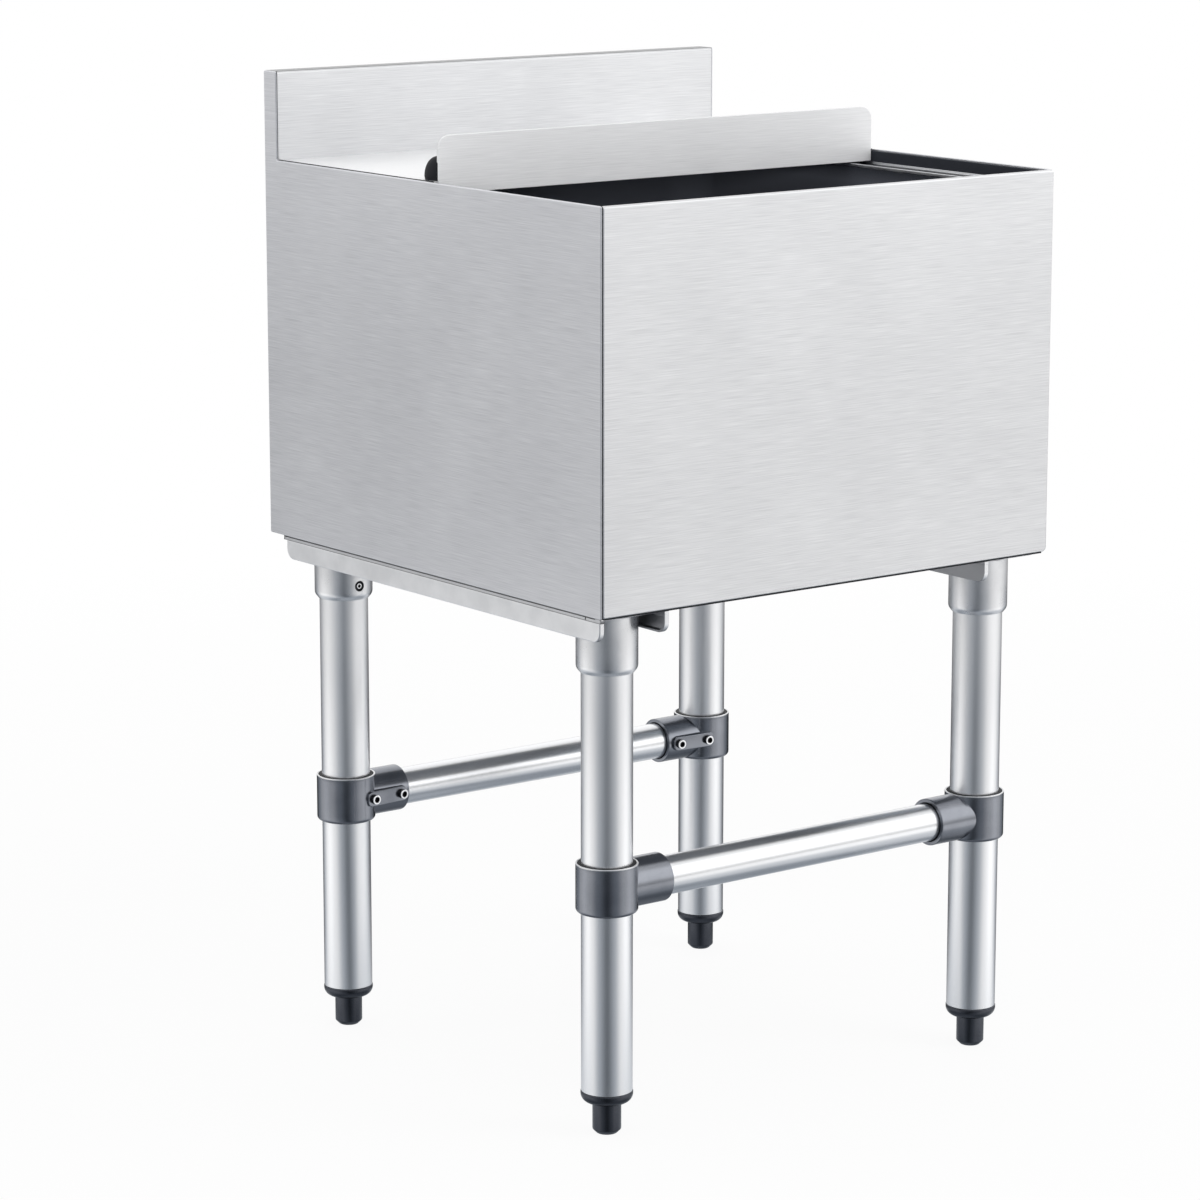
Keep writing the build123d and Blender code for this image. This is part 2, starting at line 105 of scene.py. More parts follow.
# Reflection tent: levels at angles from the viewer's side, right positive
TENT_RADIUS = 4.6
TENT_BOTTOM = -0.5
TENT_MIDDLE = 1.7
TENT_TOP = 4.4
TENT_FLOOR_LEVELS = [
    (-180, 0.02), (-145, 0.05), (-122, 0.5), (-104, 1.05), (-85, 1.35), (-60, 1.0), (-30, 0.38),
    (0, 0.08), (30, 0.38), (60, 1.0), (85, 1.4), (104, 1.1), (122, 0.5), (145, 0.05), (180, 0.02),
]
TENT_WALL_LEVELS = [
    (-180, 1.2), (-160, 1.1), (-130, 0.9), (-105, 1.2), (-75, 1.2), (-40, 0.8), (0, 0.4), (30, 0.9),
    (60, 1.6), (110, 1.7), (135, 1.4), (150, 1.2), (165, 1.2), (180, 1.2),
]
TENT_HIGH_LEVELS = [
    (-180, 1.2), (-105, 1.3), (-40, 0.9), (0, 0.7), (30, 1.0), (60, 1.6), (110, 1.7), (150, 1.3), (180, 1.2),
]
TENT_WALL_FADE = (-0.5, 0.9)
TENT_WALL_LOWEST = 0.24
COOL_RED = 0.14
COOL_BLUE = 0.18

# Floor of the tent close to the object: levels at distances from its middle, not on the viewer's side
TENT_NEAR_REACH = 1.9
TENT_NEAR_BLEND = (1.3, 1.9)
TENT_VIEWER_BLEND = (0.4, 0.8)
TENT_NEAR_LEVELS = [
    (0.0, 0.45), (0.36, 0.45), (0.48, 0.3), (0.66, 0.34), (0.9, 0.68), (1.3, 0.75), (1.9, 0.85),
]

# Dark card beside the pan
CARD_GAP = 0.004
CARD_WIDTH = 0.16
CARD_LEVEL = 0.24

# Finishes: the part of a noise that is stretched to the full range, grain, and where painted shade or
# painted light sets in
NOISE_SPAN = (0.35, 0.65)
BRUSH_SPAN = (0.34, 0.66)
TUBE_GRAIN = 0.0006
CAST_GRAIN = 0.000625
OUTER_SKIN = (0.0015, 0.0005)
END_FACING = (0.6, 0.9)
PAINTED_SHADE_FACING = (-0.9, -0.15)
BASIN_LIGHT_BLEND = 0.012
BASIN_LIGHT_WANDER = 0.002


class Graph:
    """Node tree of a material or world, with short ways to add and join nodes."""

    def __init__(self, owner):
        owner.use_nodes = True
        self.tree = owner.node_tree

    def add(self, kind, inputs=None, **settings):
        node = self.tree.nodes.new("ShaderNode" + kind)
        for key, value in settings.items():
            setattr(node, key, value)
        for key, value in (inputs or {}).items():
            self.set(node.inputs[key], value)
        return node

    def set(self, socket, value):
        if isinstance(value, bpy.types.NodeSocket):
            self.tree.links.new(value, socket)
        else:
            socket.default_value = (*value, 1.0) if socket.type == "RGBA" else value

    def math(self, operation, first, second=0.0):
        return self.add("Math", {0: first, 1: second}, operation=operation).outputs["Value"]

    def remap(self, value, low, high, start=0.0, end=1.0):
        """Value between start and end, stretched to run from low to high."""
        inputs = {"Value": value, "From Min": start, "From Max": end, "To Min": low, "To Max": high}
        return self.add("MapRange", inputs).outputs["Result"]

    def seen_or_mirrored(self):
        """1 for rays from the camera and for mirrored or see-through ones, else 0."""
        path = self.add("LightPath").outputs
        share = self.math("MAXIMUM", path["Is Camera Ray"], path["Is Glossy Ray"])
        return self.math("MAXIMUM", share, path["Is Transmission Ray"])


class Look(Graph):
    """Surface finish made of procedural nodes."""

    def __init__(self, name):
        self.material = bpy.data.materials.new(name)
        super().__init__(self.material)
        self.place = self.add("TexCoord").outputs["Object"]

    def surface(self, **inputs):
        """The material, with inputs of its shader set."""
        shader = self.tree.nodes["Principled BSDF"]
        for key, value in inputs.items():
            self.set(shader.inputs[key.replace("_", " ")], value)
        return self.material

    def show(self, shader):
        self.set(self.tree.nodes["Material Output"].inputs["Surface"], shader)

    def dot(self, vector, direction):
        return self.add("VectorMath", {0: vector, 1: direction}, operation="DOT_PRODUCT").outputs["Value"]

    def along(self, direction):
        """Distance of a point along a direction, times the direction's length."""
        return self.dot(self.place, direction)

    def distance(self):
        return self.add("VectorMath", {0: self.place}, operation="LENGTH").outputs["Value"]

    def facing(self, direction):
        """How far the surface faces a direction, from -1 to 1."""
        return self.dot(self.add("NewGeometry").outputs["Normal"], direction)

    def noise(self, scale, detail=2.0, roughness=0.5, vector=None):
        inputs = {"Vector": vector or self.place, "Scale": scale, "Detail": detail, "Roughness": roughness}
        return self.add("TexNoise", inputs).outputs["Fac"]

    def average(self, first, second, share):
        return self.add("Mix", {"Factor": share, 2: first, 3: second}, data_type="FLOAT").outputs[0]

    def blend(self, share, first, second):
        """Colour between two colours or colour outputs."""
        inputs = {"Factor": share, 6: first, 7: second}
        return self.add("Mix", inputs, data_type="RGBA").outputs[2]

    def tint(self, tone, dark, light, span=NOISE_SPAN):
        """Colour that follows a noise from dark to light."""
        return self.blend(self.remap(tone, 0.0, 1.0, *span), dark, light)

    def spread(self, tone, ends, span=NOISE_SPAN):
        """Number that follows a noise from one end to the other."""
        return self.remap(tone, *ends, *span)

    def relief(self, height, strength, distance):
        inputs = {"Height": height, "Strength": strength, "Distance": distance}
        return self.add("Bump", inputs).outputs["Normal"]

    def streaks(self, along, pitch, length):
        """Noise drawn out along one axis and thin across it."""
        slow = self.along(tuple(part / length for part in along))
        fast = self.along(tuple((1.0 - part) / pitch for part in along))
        vector = self.add("CombineXYZ", {"X": slow, "Y": fast}).outputs["Vector"]
        return self.noise(scale=1.0, detail=1.5, vector=vector)


def brushed_steel(name, dark, light, along, rough, metallic=1.0):
    """Stainless sheet with a visible brush direction and faint cloudiness."""
    look = Look(name)
    fine = look.streaks(along, pitch=0.00045, length=0.03)
    broad = look.streaks(along, pitch=0.001, length=0.12)
    lines = look.average(fine, broad, 0.3)
    clouds = look.noise(scale=9.0, detail=3.0)
    tone = look.average(lines, clouds, 0.2)
    return look.surface(
        Base_Color=look.tint(tone, dark, light, BRUSH_SPAN),
        Metallic=metallic,
        Roughness=look.spread(lines, rough, BRUSH_SPAN),
        Normal=look.relief(lines, 0.05, 0.0003),
    )


def satin_steel(name, dark, light, rough):
    """Smooth satin stainless with faint smears and a micro grain."""
    look = Look(name)
    smears = look.noise(scale=34.0, detail=4.0, roughness=0.6)
    grain = look.noise(scale=1500.0, detail=2.0)
    tone = look.average(smears, grain, 0.35)
    return look.surface(
        Base_Color=look.tint(tone, dark, light),
        Metallic=1.0,
        Roughness=look.spread(tone, rough),
        Normal=look.relief(grain, 0.03, 0.0002),
    )


def channel_steel(name, dark, light, painted_inside_shade, rough, outside):
    """Satin stainless on the outer face and cut ends, darker elsewhere as painted shade inside the channel.
    """
    look = Look(name)
    smears = look.noise(scale=34.0, detail=4.0, roughness=0.6)
    clean = look.tint(smears, dark, light)
    # Painted shade: the colour darkens on the inner faces, away from the outer face and the ends.
    reach = look.math("ABSOLUTE", look.along(WIDTH))
    skin = look.remap(reach, 0.0, 1.0, *(outside - depth for depth in OUTER_SKIN))
    ends = look.remap(look.math("ABSOLUTE", look.facing(DEPTH)), 0.0, 1.0, *END_FACING)
    return look.surface(
        Base_Color=look.blend(look.math("MAXIMUM", skin, ends), painted_inside_shade, clean),
        Metallic=1.0,
        Roughness=look.spread(smears, rough),
        Normal=look.relief(smears, 0.02, 0.0002),
    )


def tube_steel(name, dark, light, lengthwise, rough):
    """Polished tube with a very fine grain that runs round it."""
    look = Look(name)
    place = look.along(tuple(part / TUBE_GRAIN for part in lengthwise))
    vector = look.add("CombineXYZ", {"X": place}).outputs["Vector"]
    fine = look.noise(scale=1.0, detail=1.0, vector=vector)
    smears = look.noise(scale=12.0, detail=1.0)
    tone = look.average(fine, smears, 0.6)
    return look.surface(
        Base_Color=look.tint(tone, dark, light),
        Metallic=1.0,
        Roughness=look.spread(smears, rough),
        Normal=look.relief(fine, 0.008, 0.0002),
    )


def moulded(name, dark, light, rough, grain_size, relief, metallic=0.0, gloss=0.5, below=None):
    """Moulded plastic, rubber or cast metal with a fine grain; below is a darker tone painted on its
    underside as shade.
    """
    look = Look(name)
    grain = look.noise(scale=1.0 / grain_size, detail=3.0, roughness=0.6)
    clouds = look.noise(scale=40.0, detail=2.0)
    tone = look.average(grain, clouds, 0.5)
    base = look.tint(tone, dark, light)
    # Painted shade: the colour darkens on faces that point down.
    if below:
        base = look.blend(look.remap(look.facing(HEIGHT), 1.0, 0.0, *PAINTED_SHADE_FACING), base, below)
    return look.surface(
        Base_Color=base,
        Metallic=metallic,
        Specular_IOR_Level=gloss,
        Roughness=look.spread(tone, rough),
        Normal=look.relief(grain, relief, 0.0003),
    )


def liner_plastic(name, painted_light_basin, brim, rough, ledge):
    """Black moulded sheet with a fine grain; its basin is painted paler than its brim, painted light in the
    shaded well.
    """
    look = Look(name)
    grain = look.noise(scale=800.0, detail=3.0, roughness=0.6)
    # Painted light: below the ledge the colour turns paler, lifting the shaded basin.
    height = look.math("ADD", look.along(HEIGHT), look.remap(grain, -BASIN_LIGHT_WANDER, BASIN_LIGHT_WANDER))
    return look.surface(
        Base_Color=look.blend(look.remap(height, 0.0, 1.0, ledge - BASIN_LIGHT_BLEND, ledge), painted_light_basin, brim),
        Specular_IOR_Level=0.12,
        Roughness=look.spread(grain, rough),
        Normal=look.relief(grain, 0.1, 0.0003),
    )


WIDTH = (1.0, 0.0, 0.0)
DEPTH = (0.0, 1.0, 0.0)
HEIGHT = (0.0, 0.0, 1.0)
FACE_STEEL = ((0.61, 0.614, 0.626), (0.78, 0.783, 0.793))
# Painted shade: darker, bluer copy of the face steel for the side panels.
SHADED_WALL_STEEL = ((0.565, 0.571, 0.597), (0.73, 0.736, 0.759))
STEEL = ((0.74, 0.746, 0.76), (0.83, 0.834, 0.846))
BRIGHT_STEEL = ((0.87, 0.876, 0.89), (0.9, 0.905, 0.915))
HANDLE_STEEL = ((0.685, 0.689, 0.699), (0.82, 0.823, 0.832))
# Painted light: lighter steel for the deck's top.
LIT_DECK_STEEL = ((0.9, 0.905, 0.91), (0.97, 0.972, 0.975))
# Painted shade: darker steel for the pan under the casing.
SHADED_PAN_STEEL = ((0.3, 0.304, 0.315), (0.36, 0.364, 0.375))
# Painted shade: darker steel for the pan's side edges.
SHADED_EDGE_STEEL = ((0.55, 0.555, 0.57), (0.62, 0.625, 0.64))
RAIL_STEEL = ((0.78, 0.786, 0.8), (0.82, 0.825, 0.838))
# Painted highlight: bright steel for the ring on the clamps' upper lips.
HIGHLIGHT_LIP_STEEL = ((0.66, 0.666, 0.68), (0.78, 0.785, 0.8))
# Painted dark reflection: dark steel for the strip on the splash's top.
DARK_REFLECTION_STEEL = ((0.17, 0.172, 0.177), (0.205, 0.207, 0.213))
# Painted shade: darker steel for the channels' inner faces.
CHANNEL_PAINTED_SHADE = (0.34, 0.345, 0.36)

# Painted shade: dark steel for the clamp screws' shaded sides.
SCREW_SHADE = ((0.03, 0.03, 0.034), (0.06, 0.06, 0.066))
# Liner tones, basin first: the paler basin is painted light, the darker brim is the liner's own black.
LINER = ((0.122, 0.13, 0.154), (0.028, 0.031, 0.039))
RUBBER = ((0.007, 0.0075, 0.01), (0.012, 0.0125, 0.016))
FOOT = ((0.056, 0.06, 0.071), (0.086, 0.091, 0.106))
CHARCOAL = ((0.215, 0.226, 0.254), (0.285, 0.297, 0.328))
# Painted shade: darker tone for the tee clamps' undersides.
CHARCOAL_PAINTED_SHADE = (0.12, 0.125, 0.14)
FOAM = ((0.72, 0.62, 0.38), (0.85, 0.76, 0.5))

looks = {
    "face": brushed_steel("face_steel", *FACE_STEEL, WIDTH, (0.33, 0.42)),
    "wall": brushed_steel("painted_shade_wall_steel", *SHADED_WALL_STEEL, DEPTH, (0.33, 0.42)),
    "splash": brushed_steel("splash_steel", *FACE_STEEL, WIDTH, (0.42, 0.5)),
    "deck": brushed_steel("painted_light_deck_steel", *LIT_DECK_STEEL, WIDTH, (0.62, 0.7)),
    "handle": brushed_steel("handle_steel", *HANDLE_STEEL, WIDTH, (0.44, 0.5), metallic=0.4),
    "satin": satin_steel("satin_steel", *STEEL, (0.3, 0.38)),
    "channel": channel_steel("channel_steel", *STEEL, CHANNEL_PAINTED_SHADE, (0.34, 0.42), cad_high.x),
    "pan": satin_steel("painted_shade_pan_steel", *SHADED_PAN_STEEL, (0.34, 0.42)),
    "edge": satin_steel("painted_shade_edge_steel", *SHADED_EDGE_STEEL, (0.34, 0.42)),
    "cap": satin_steel("painted_reflection_steel", *DARK_REFLECTION_STEEL, (0.3, 0.36)),
    "leg": tube_steel("leg_steel", *BRIGHT_STEEL, HEIGHT, (0.31, 0.33)),
    "rail": tube_steel("rail_steel", *RAIL_STEEL, WIDTH, (0.24, 0.26)),
    "lip": satin_steel("painted_highlight_lip_steel", *HIGHLIGHT_LIP_STEEL, (0.3, 0.36)),
    "socket": satin_steel("socket_steel", *STEEL, (0.26, 0.33)),
    "chrome": satin_steel("drain_chrome", *STEEL, (0.12, 0.2)),
    "screw": satin_steel("screw_steel", *BRIGHT_STEEL, (0.2, 0.28)),
    "screw_shade": moulded("painted_shade_screw_steel", *SCREW_SHADE, (0.34, 0.44), 0.0005, 0.05, metallic=1.0),
    "liner": liner_plastic("black_liner", *LINER, (0.5, 0.6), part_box("lid_rail_left")[0].z),
    "rubber": moulded("black_rubber", *RUBBER, (0.5, 0.62), 0.0008, 0.15, gloss=0.2),
    "nylon": moulded("black_nylon", *RUBBER, (0.22, 0.3), 0.0006, 0.1, gloss=0.8),
    "foot": moulded("foot_nylon", *FOOT, (0.26, 0.32), 0.0006, 0.06, metallic=1.0),
    "tee": moulded("charcoal_tee", *CHARCOAL, (0.2, 0.25), CAST_GRAIN, 0.04, 1.0, below=CHARCOAL_PAINTED_SHADE),
    "foam": moulded("yellow_foam", *FOAM, (0.8, 0.95), 0.002, 0.4),
}


def paint(mesh, finish):
    """Give a mesh one of the looks."""
    mesh.materials.clear()
    mesh.materials.append(looks[finish])


kept_nodes = {
    "rail": ["cross_rail_front", "cross_rail_rear"],
    "chrome": ["drain_body", "drain_strainer"],
    "screw": ["strainer_screw", "glide_rivets"],
    "rubber": ["drain_gasket"],
    "foam": ["insulation_foam"],
}
for finish, members in kept_nodes.items():
    for member in members:
        paint(nodes[member].data, finish)


def new_object(name, data):
    """Object in the scene that shows a mesh, lamp or camera."""
    piece = bpy.data.objects.new(name, data)
    bpy.context.scene.collection.objects.link(piece)
    return piece


def form_from(mesh):
    """Bmesh copy of a mesh."""
    form = bmesh.new()
    form.from_mesh(mesh)
    return form


def mesh_from(name, form):
    """Mesh of a bmesh, shaded smooth."""
    mesh = bpy.data.meshes.new(name)
    form.to_mesh(mesh)
    form.free()
    mesh.shade_smooth()
    return mesh


def joined(name, forms):
    """One mesh of several bmeshes."""
    whole = bmesh.new()
    for form in forms:
        part = mesh_from(name, form)
        whole.from_mesh(part)
        bpy.data.meshes.remove(part)
    return mesh_from(name, whole)


def dress(name, mesh, finish, node):
    """Show a mesh in place of a CAD node, on its body."""
    piece = add_piece(name, mesh, finish, body_of_node[node])
    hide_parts(node)
    return piece


def add_piece(name, mesh, finish, body="bin"):
    """Show a mesh on a body, with a look."""
    paint(mesh, finish)
    piece = new_object(name, mesh)
    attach(piece, body)
    return piece


def even_shading(piece):
    """Flat faces shade flat, and only the rounded edges turn the normals."""
    normals = piece.modifiers.new("even_shading", "WEIGHTED_NORMAL")
    normals.keep_sharp = True


def dress_sheet(name, forms, finish, node):
    """Show forms of sheet metal in place of a CAD node."""
    even_shading(dress(name, joined(name + "_mesh", forms), finish, node))


def add_sheet(name, forms, finish):
    """Show further forms of sheet metal or trim on the bin."""
    even_shading(add_piece(name, joined(name + "_mesh", forms), finish))


def crisp(mesh, degrees=32):
    """Smooth shading that breaks at sharp edges."""
    mesh.set_sharp_from_angle(angle=math.radians(degrees))
    return mesh


# Outlines and the forms drawn or turned from them
ARC_STEPS = 6
MERGE_DISTANCE = 1e-7
UPWARDS = Matrix.Identity(4)
FRONTWARDS = Matrix(((1, 0, 0, 0), (0, 0, -1, 0), (0, 1, 0, 0), (0, 0, 0, 1)))
LEFTWARDS = Matrix(((0, 0, -1, 0), (-1, 0, 0, 0), (0, 1, 0, 0), (0, 0, 0, 1)))
RIGHTWARDS = Matrix(((0, 0, 1, 0), (1, 0, 0, 0), (0, 1, 0, 0), (0, 0, 0, 1)))
Z_TO_X = Matrix.Rotation(math.pi / 2, 4, "Y")


def moved(form, matrix):
    """The bmesh itself, moved and turned by a matrix."""
    bmesh.ops.transform(form, verts=form.verts, matrix=matrix)
    return form


def outward(form):
    """The bmesh itself, with its faces turned outwards."""
    bmesh.ops.recalc_face_normals(form, faces=form.faces)
    return form


def arc_corner(before, corner, after, radius):
    """Points that round the corner between two straight runs."""
    start = (before - corner).normalized()
    end = (after - corner).normalized()
    half = start.angle(end) / 2
    reach = radius / math.tan(half)
    centre = corner + (start + end).normalized() * (radius / math.sin(half))
    first = corner + start * reach - centre
    last = corner + end * reach - centre
    turn = -first.angle_signed(last)
    return [centre + Matrix.Rotation(turn * step / ARC_STEPS, 2) @ first for step in range(ARC_STEPS + 1)]


def rounded_outline(corners):
    """Closed outline through (across, up, rounding) corners, given anticlockwise."""
    points = [Vector(corner[:2]) for corner in corners]
    outline = []
    for index, (corner, (_, _, rounding)) in enumerate(zip(points, corners)):
        before = points[index - 1]
        after = points[(index + 1) % len(points)]
        outline += arc_corner(before, corner, after, rounding) if rounding else [corner]
    return outline


def inset_outline(outline, distance):
    """Outline moved inwards by a distance."""
    moved = []
    for index, point in enumerate(outline):
        before = (point - outline[index - 1]).normalized()
        after = (outline[(index + 1) % len(outline)] - point).normalized()
        side = Vector((-before.y, before.x))
        middle = (side + Vector((-after.y, after.x))).normalized()
        moved.append(point + middle * (distance / middle.dot(side)))
    return moved


def bridge(form, rings, closed=False):
    """Faces between rings of points that follow each other."""
    following = rings[1:] + rings[:1] if closed else rings[1:]
    for ring, after in zip(rings, following):
        for index in range(len(ring)):
            form.faces.new((ring[index - 1], ring[index], after[index], after[index - 1]))


def slab(corners, low, high, low_round, high_round, direction):
    """Plate drawn out along a direction from low to high, its end edges rounded."""
    outline = rounded_outline(corners)
    angles = [math.pi / 2 * step / ARC_STEPS for step in range(ARC_STEPS + 1)]
    levels = [(low_round * (1 - math.sin(a)), low + low_round * (1 - math.cos(a))) for a in angles]
    levels += [(high_round * (1 - math.cos(a)), high - high_round * (1 - math.sin(a))) for a in angles]
    form = bmesh.new()
    rings = []
    for inset, level in levels:
        rings.append([form.verts.new((*point, level)) for point in inset_outline(outline, inset)])
    bridge(form, rings)
    form.faces.new(list(reversed(rings[0])))
    form.faces.new(rings[-1])
    return outward(moved(form, direction))


def rectangle(left, low, right, high, rounding=0.0, high_rounding=None):
    """Corners of a rectangle, whose upper two may have a rounding of their own."""
    upper = rounding if high_rounding is None else high_rounding
    return [(left, low, rounding), (right, low, rounding), (right, high, upper), (left, high, upper)]


def mirrored(form):
    """Copy of a bmesh on the other side, left to right."""
    other = form.copy()
    bmesh.ops.scale(other, verts=other.verts, vec=(-1.0, 1.0, 1.0))
    bmesh.ops.reverse_faces(other, faces=other.faces)
    return other


def turned(corners, segments=128):
    """Bmesh of a closed (radius, height, rounding) outline turned round the Z axis."""
    outline = rounded_outline(corners)
    form = bmesh.new()
    rings = []
    for step in range(segments):
        spin = Matrix.Rotation(math.tau * step / segments, 3, "Z")
        rings.append([form.verts.new(spin @ Vector((point.x, 0.0, point.y))) for point in outline])
    bridge(form, rings, closed=True)
    bmesh.ops.remove_doubles(form, verts=form.verts, dist=MERGE_DISTANCE)
    return outward(form)


def bar(radius, start, end, segments=48):
    """Round or many-sided bar between two points."""
    form = bmesh.new()
    run = Vector(end) - Vector(start)
    middle = (Vector(start) + Vector(end)) / 2
    matrix = Matrix.Translation(middle) @ run.to_track_quat("Z", "Y").to_matrix().to_4x4()
    bmesh.ops.create_cone(
        form, cap_ends=True, segments=segments, radius1=radius, radius2=radius, depth=run.length,
        matrix=matrix)
    return form


def carved(name, base, changes):
    """Mesh of a base with other forms joined to it or cut from it."""
    holder = new_object(name, mesh_from(name, base))
    helpers = []
    for operation, form in changes:
        helper = new_object(name + "_helper", mesh_from(name, form))
        helpers.append(helper)
        change = holder.modifiers.new(operation, "BOOLEAN")
        change.operation = operation
        change.solver = "EXACT"
        change.object = helper
    view = bpy.context.evaluated_depsgraph_get()
    result = bpy.data.meshes.new_from_object(holder.evaluated_get(view))
    for helper in [holder] + helpers:
        bpy.data.objects.remove(helper)
    result.shade_smooth()
    return crisp(result)


# Sheet metal of the casing
SHEET = 0.0012
HEM = 0.0026
HEM_HEIGHT = 0.011
EDGE = 0.0005
FINE_EDGE = 0.0002
RIM_ROUND = 0.0019
PANEL_CORNER = 0.0022
FRONT_LOW_CORNER = 0.0044
FRONT_SEAM = 0.0008
SIDE_ROUND = 0.0009
SIDE_CORNER = 0.0015
SIDE_BEND = 0.0012
SPLASH_SEAM = 0.0006
SPLASH_BEND = 0.0018
SPLASH_CAP = 0.0003
DECK_BEND = 0.001
DECK_SEAM = 0.0018
FLANGE = 0.017
PAN_FRONT_LIP = 0.006
PAN_SET_BACK = 0.018
DRAIN_HOLE = 0.0172
# Sizes of the dark strips that paint shade into seams and along the pan's folds
SHADE_STRIP = 0.0004
SHADE_LINE = 0.00025
DECK_SHADE_RISE = 0.00035

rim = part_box("front_panel")[1].z
splash_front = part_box("backsplash")[0].y


def plate(outline, low, high, edge=FINE_EDGE):
    """Level plate between two heights, with hardly rounded edges."""
    return slab(outline, low, high, edge, edge, UPWARDS)


def make_front():
    """Front panel that covers the right wall's edge: rolled edges, bent-in returns, bottom flange."""
    low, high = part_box("front_panel")
    left = low.x + FRONT_SEAM
    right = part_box("side_panel_right")[1].x
    inner = low.y + HEM
    face = [
        (left, low.z, PANEL_CORNER), (right, low.z, FRONT_LOW_CORNER),
        (right, high.z, PANEL_CORNER), (left, high.z, PANEL_CORNER),
    ]
    forms = [slab(face, -inner, -low.y, FINE_EDGE, RIM_ROUND, FRONTWARDS)]
    for start in (left, high.x - SHEET):
        flank = rectangle(start, inner, start + SHEET, high.y)
        forms.append(plate(flank, low.z, high.z - HEM_HEIGHT))
    flange = rectangle(left, inner, high.x, inner + FLANGE)
    forms.append(plate(flange, low.z + FINE_EDGE, low.z + SHEET))
    dress_sheet("front_face", forms, "face", "front_panel")


def side_forms(front_corner, edge_round, set_back):
    """Left side panel: sheet that runs up into the splash end, hem along the rim, bottom flange."""
    low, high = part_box("side_panel_left")
    front = -low.y - set_back
    sheet = [
        (front, low.z, front_corner), (front, rim, SIDE_CORNER), (-splash_front, rim, SIDE_BEND),
        (-splash_front, high.z, SIDE_CORNER), (-high.y, high.z, SIDE_CORNER), (-high.y, low.z, SIDE_BEND),
    ]
    outer = -low.x
    hem = rectangle(-splash_front, rim - HEM_HEIGHT, -low.y - HEM, rim)
    flange = rectangle(low.x + SHEET, low.y + HEM, low.x + FLANGE, high.y - HEM)
    return [
        slab(sheet, outer - SHEET, outer, FINE_EDGE, edge_round, LEFTWARDS),
        slab(hem, outer - HEM, outer - SHEET, EDGE, FINE_EDGE, LEFTWARDS),
        plate(flange, low.z + FINE_EDGE, low.z + SHEET),
    ]


def make_sides():
    """Both side panels, the right one starting behind the front."""
    # Both side walls use the darker wall steel, painted shade.
    dress_sheet("side_wall_left", side_forms(SHEET, SIDE_ROUND, 0.0), "wall", "side_panel_left")
    right_forms = [mirrored(form) for form in side_forms(FRONT_LOW_CORNER, EDGE, HEM)]
    dress_sheet("side_wall_right", right_forms, "wall", "side_panel_right")


def bent_profile(low, high, top, inner_bend, bend):
    """Outline of a sheet that stands at the front of a box and bends back over its top."""
    return [
        (low.y, low.z, 0.0), (low.y + SHEET, low.z, 0.0), (low.y + SHEET, high.z - SHEET, inner_bend),
        (high.y, high.z - SHEET, 0.0), (high.y, top, 0.0), (low.y, top, bend),
    ]


def make_splash():
    """Backsplash cover: front and top in one bent sheet, with a dark strip on top that is a painted dark
    reflection.
    """
    low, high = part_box("backsplash")
    top = high.z - SPLASH_CAP
    profile = bent_profile(low, high, top, SPLASH_BEND - SHEET, SPLASH_BEND)
    cover = slab(profile, low.x + SPLASH_SEAM, high.x, EDGE, EDGE, RIGHTWARDS)
    dress_sheet("splash_cover", [cover], "splash", "backsplash")
    strip = rectangle(low.x + SPLASH_SEAM, low.y + SPLASH_BEND, high.x, high.y)
    # Painted dark reflection on the splash's top strip.
    cap = plate(strip, top, high.z, TINY)
    add_sheet("splash_painted_reflection", [cap], "cap")


def make_deck():
    """Rear deck with its front edge bent down into a lip."""
    low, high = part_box("rear_deck")
    profile = bent_profile(low, high, high.z, FINE_EDGE, DECK_BEND)
    sheet = slab(profile, low.x + DECK_SEAM, high.x - DECK_SEAM, FINE_EDGE, FINE_EDGE, RIGHTWARDS)
    # The deck's lighter steel is painted light on its top.
    dress_sheet("deck_sheet", [sheet], "deck", "rear_deck")


def make_pan():
    """Tray under the casing: sheet with a drain hole and turned-down edges, its front edge set back."""
    low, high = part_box("base_pan")
    front = low.y + PAN_SET_BACK
    outline = rectangle(low.x, low.y + PAN_FRONT_LIP, high.x, high.y)
    sheet = plate(outline, high.z - SHEET, high.z)
    hole = bar(DRAIN_HOLE, (0.0, 0.0, low.z), (0.0, 0.0, high.z + SHEET))
    drilled = carved("pan_sheet", sheet, [("DIFFERENCE", hole)])
    strips = [
        rectangle(low.x, front, high.x, front + SHEET), rectangle(low.x, high.y - SHEET, high.x, high.y),
        rectangle(low.x, low.y, low.x + SHEET, high.y), rectangle(high.x - SHEET, front, high.x, high.y),
    ]
    front_lip, rear_lip, left_edge, right_edge = (plate(strip, low.z, high.z) for strip in strips)
    # Pan and side edges in darker steel: painted shade under the casing.
    dress_sheet("bottom_pan", [front_lip, rear_lip, form_from(drilled)], "pan", "base_pan")
    add_sheet("pan_edges", [left_edge, right_edge], "edge")


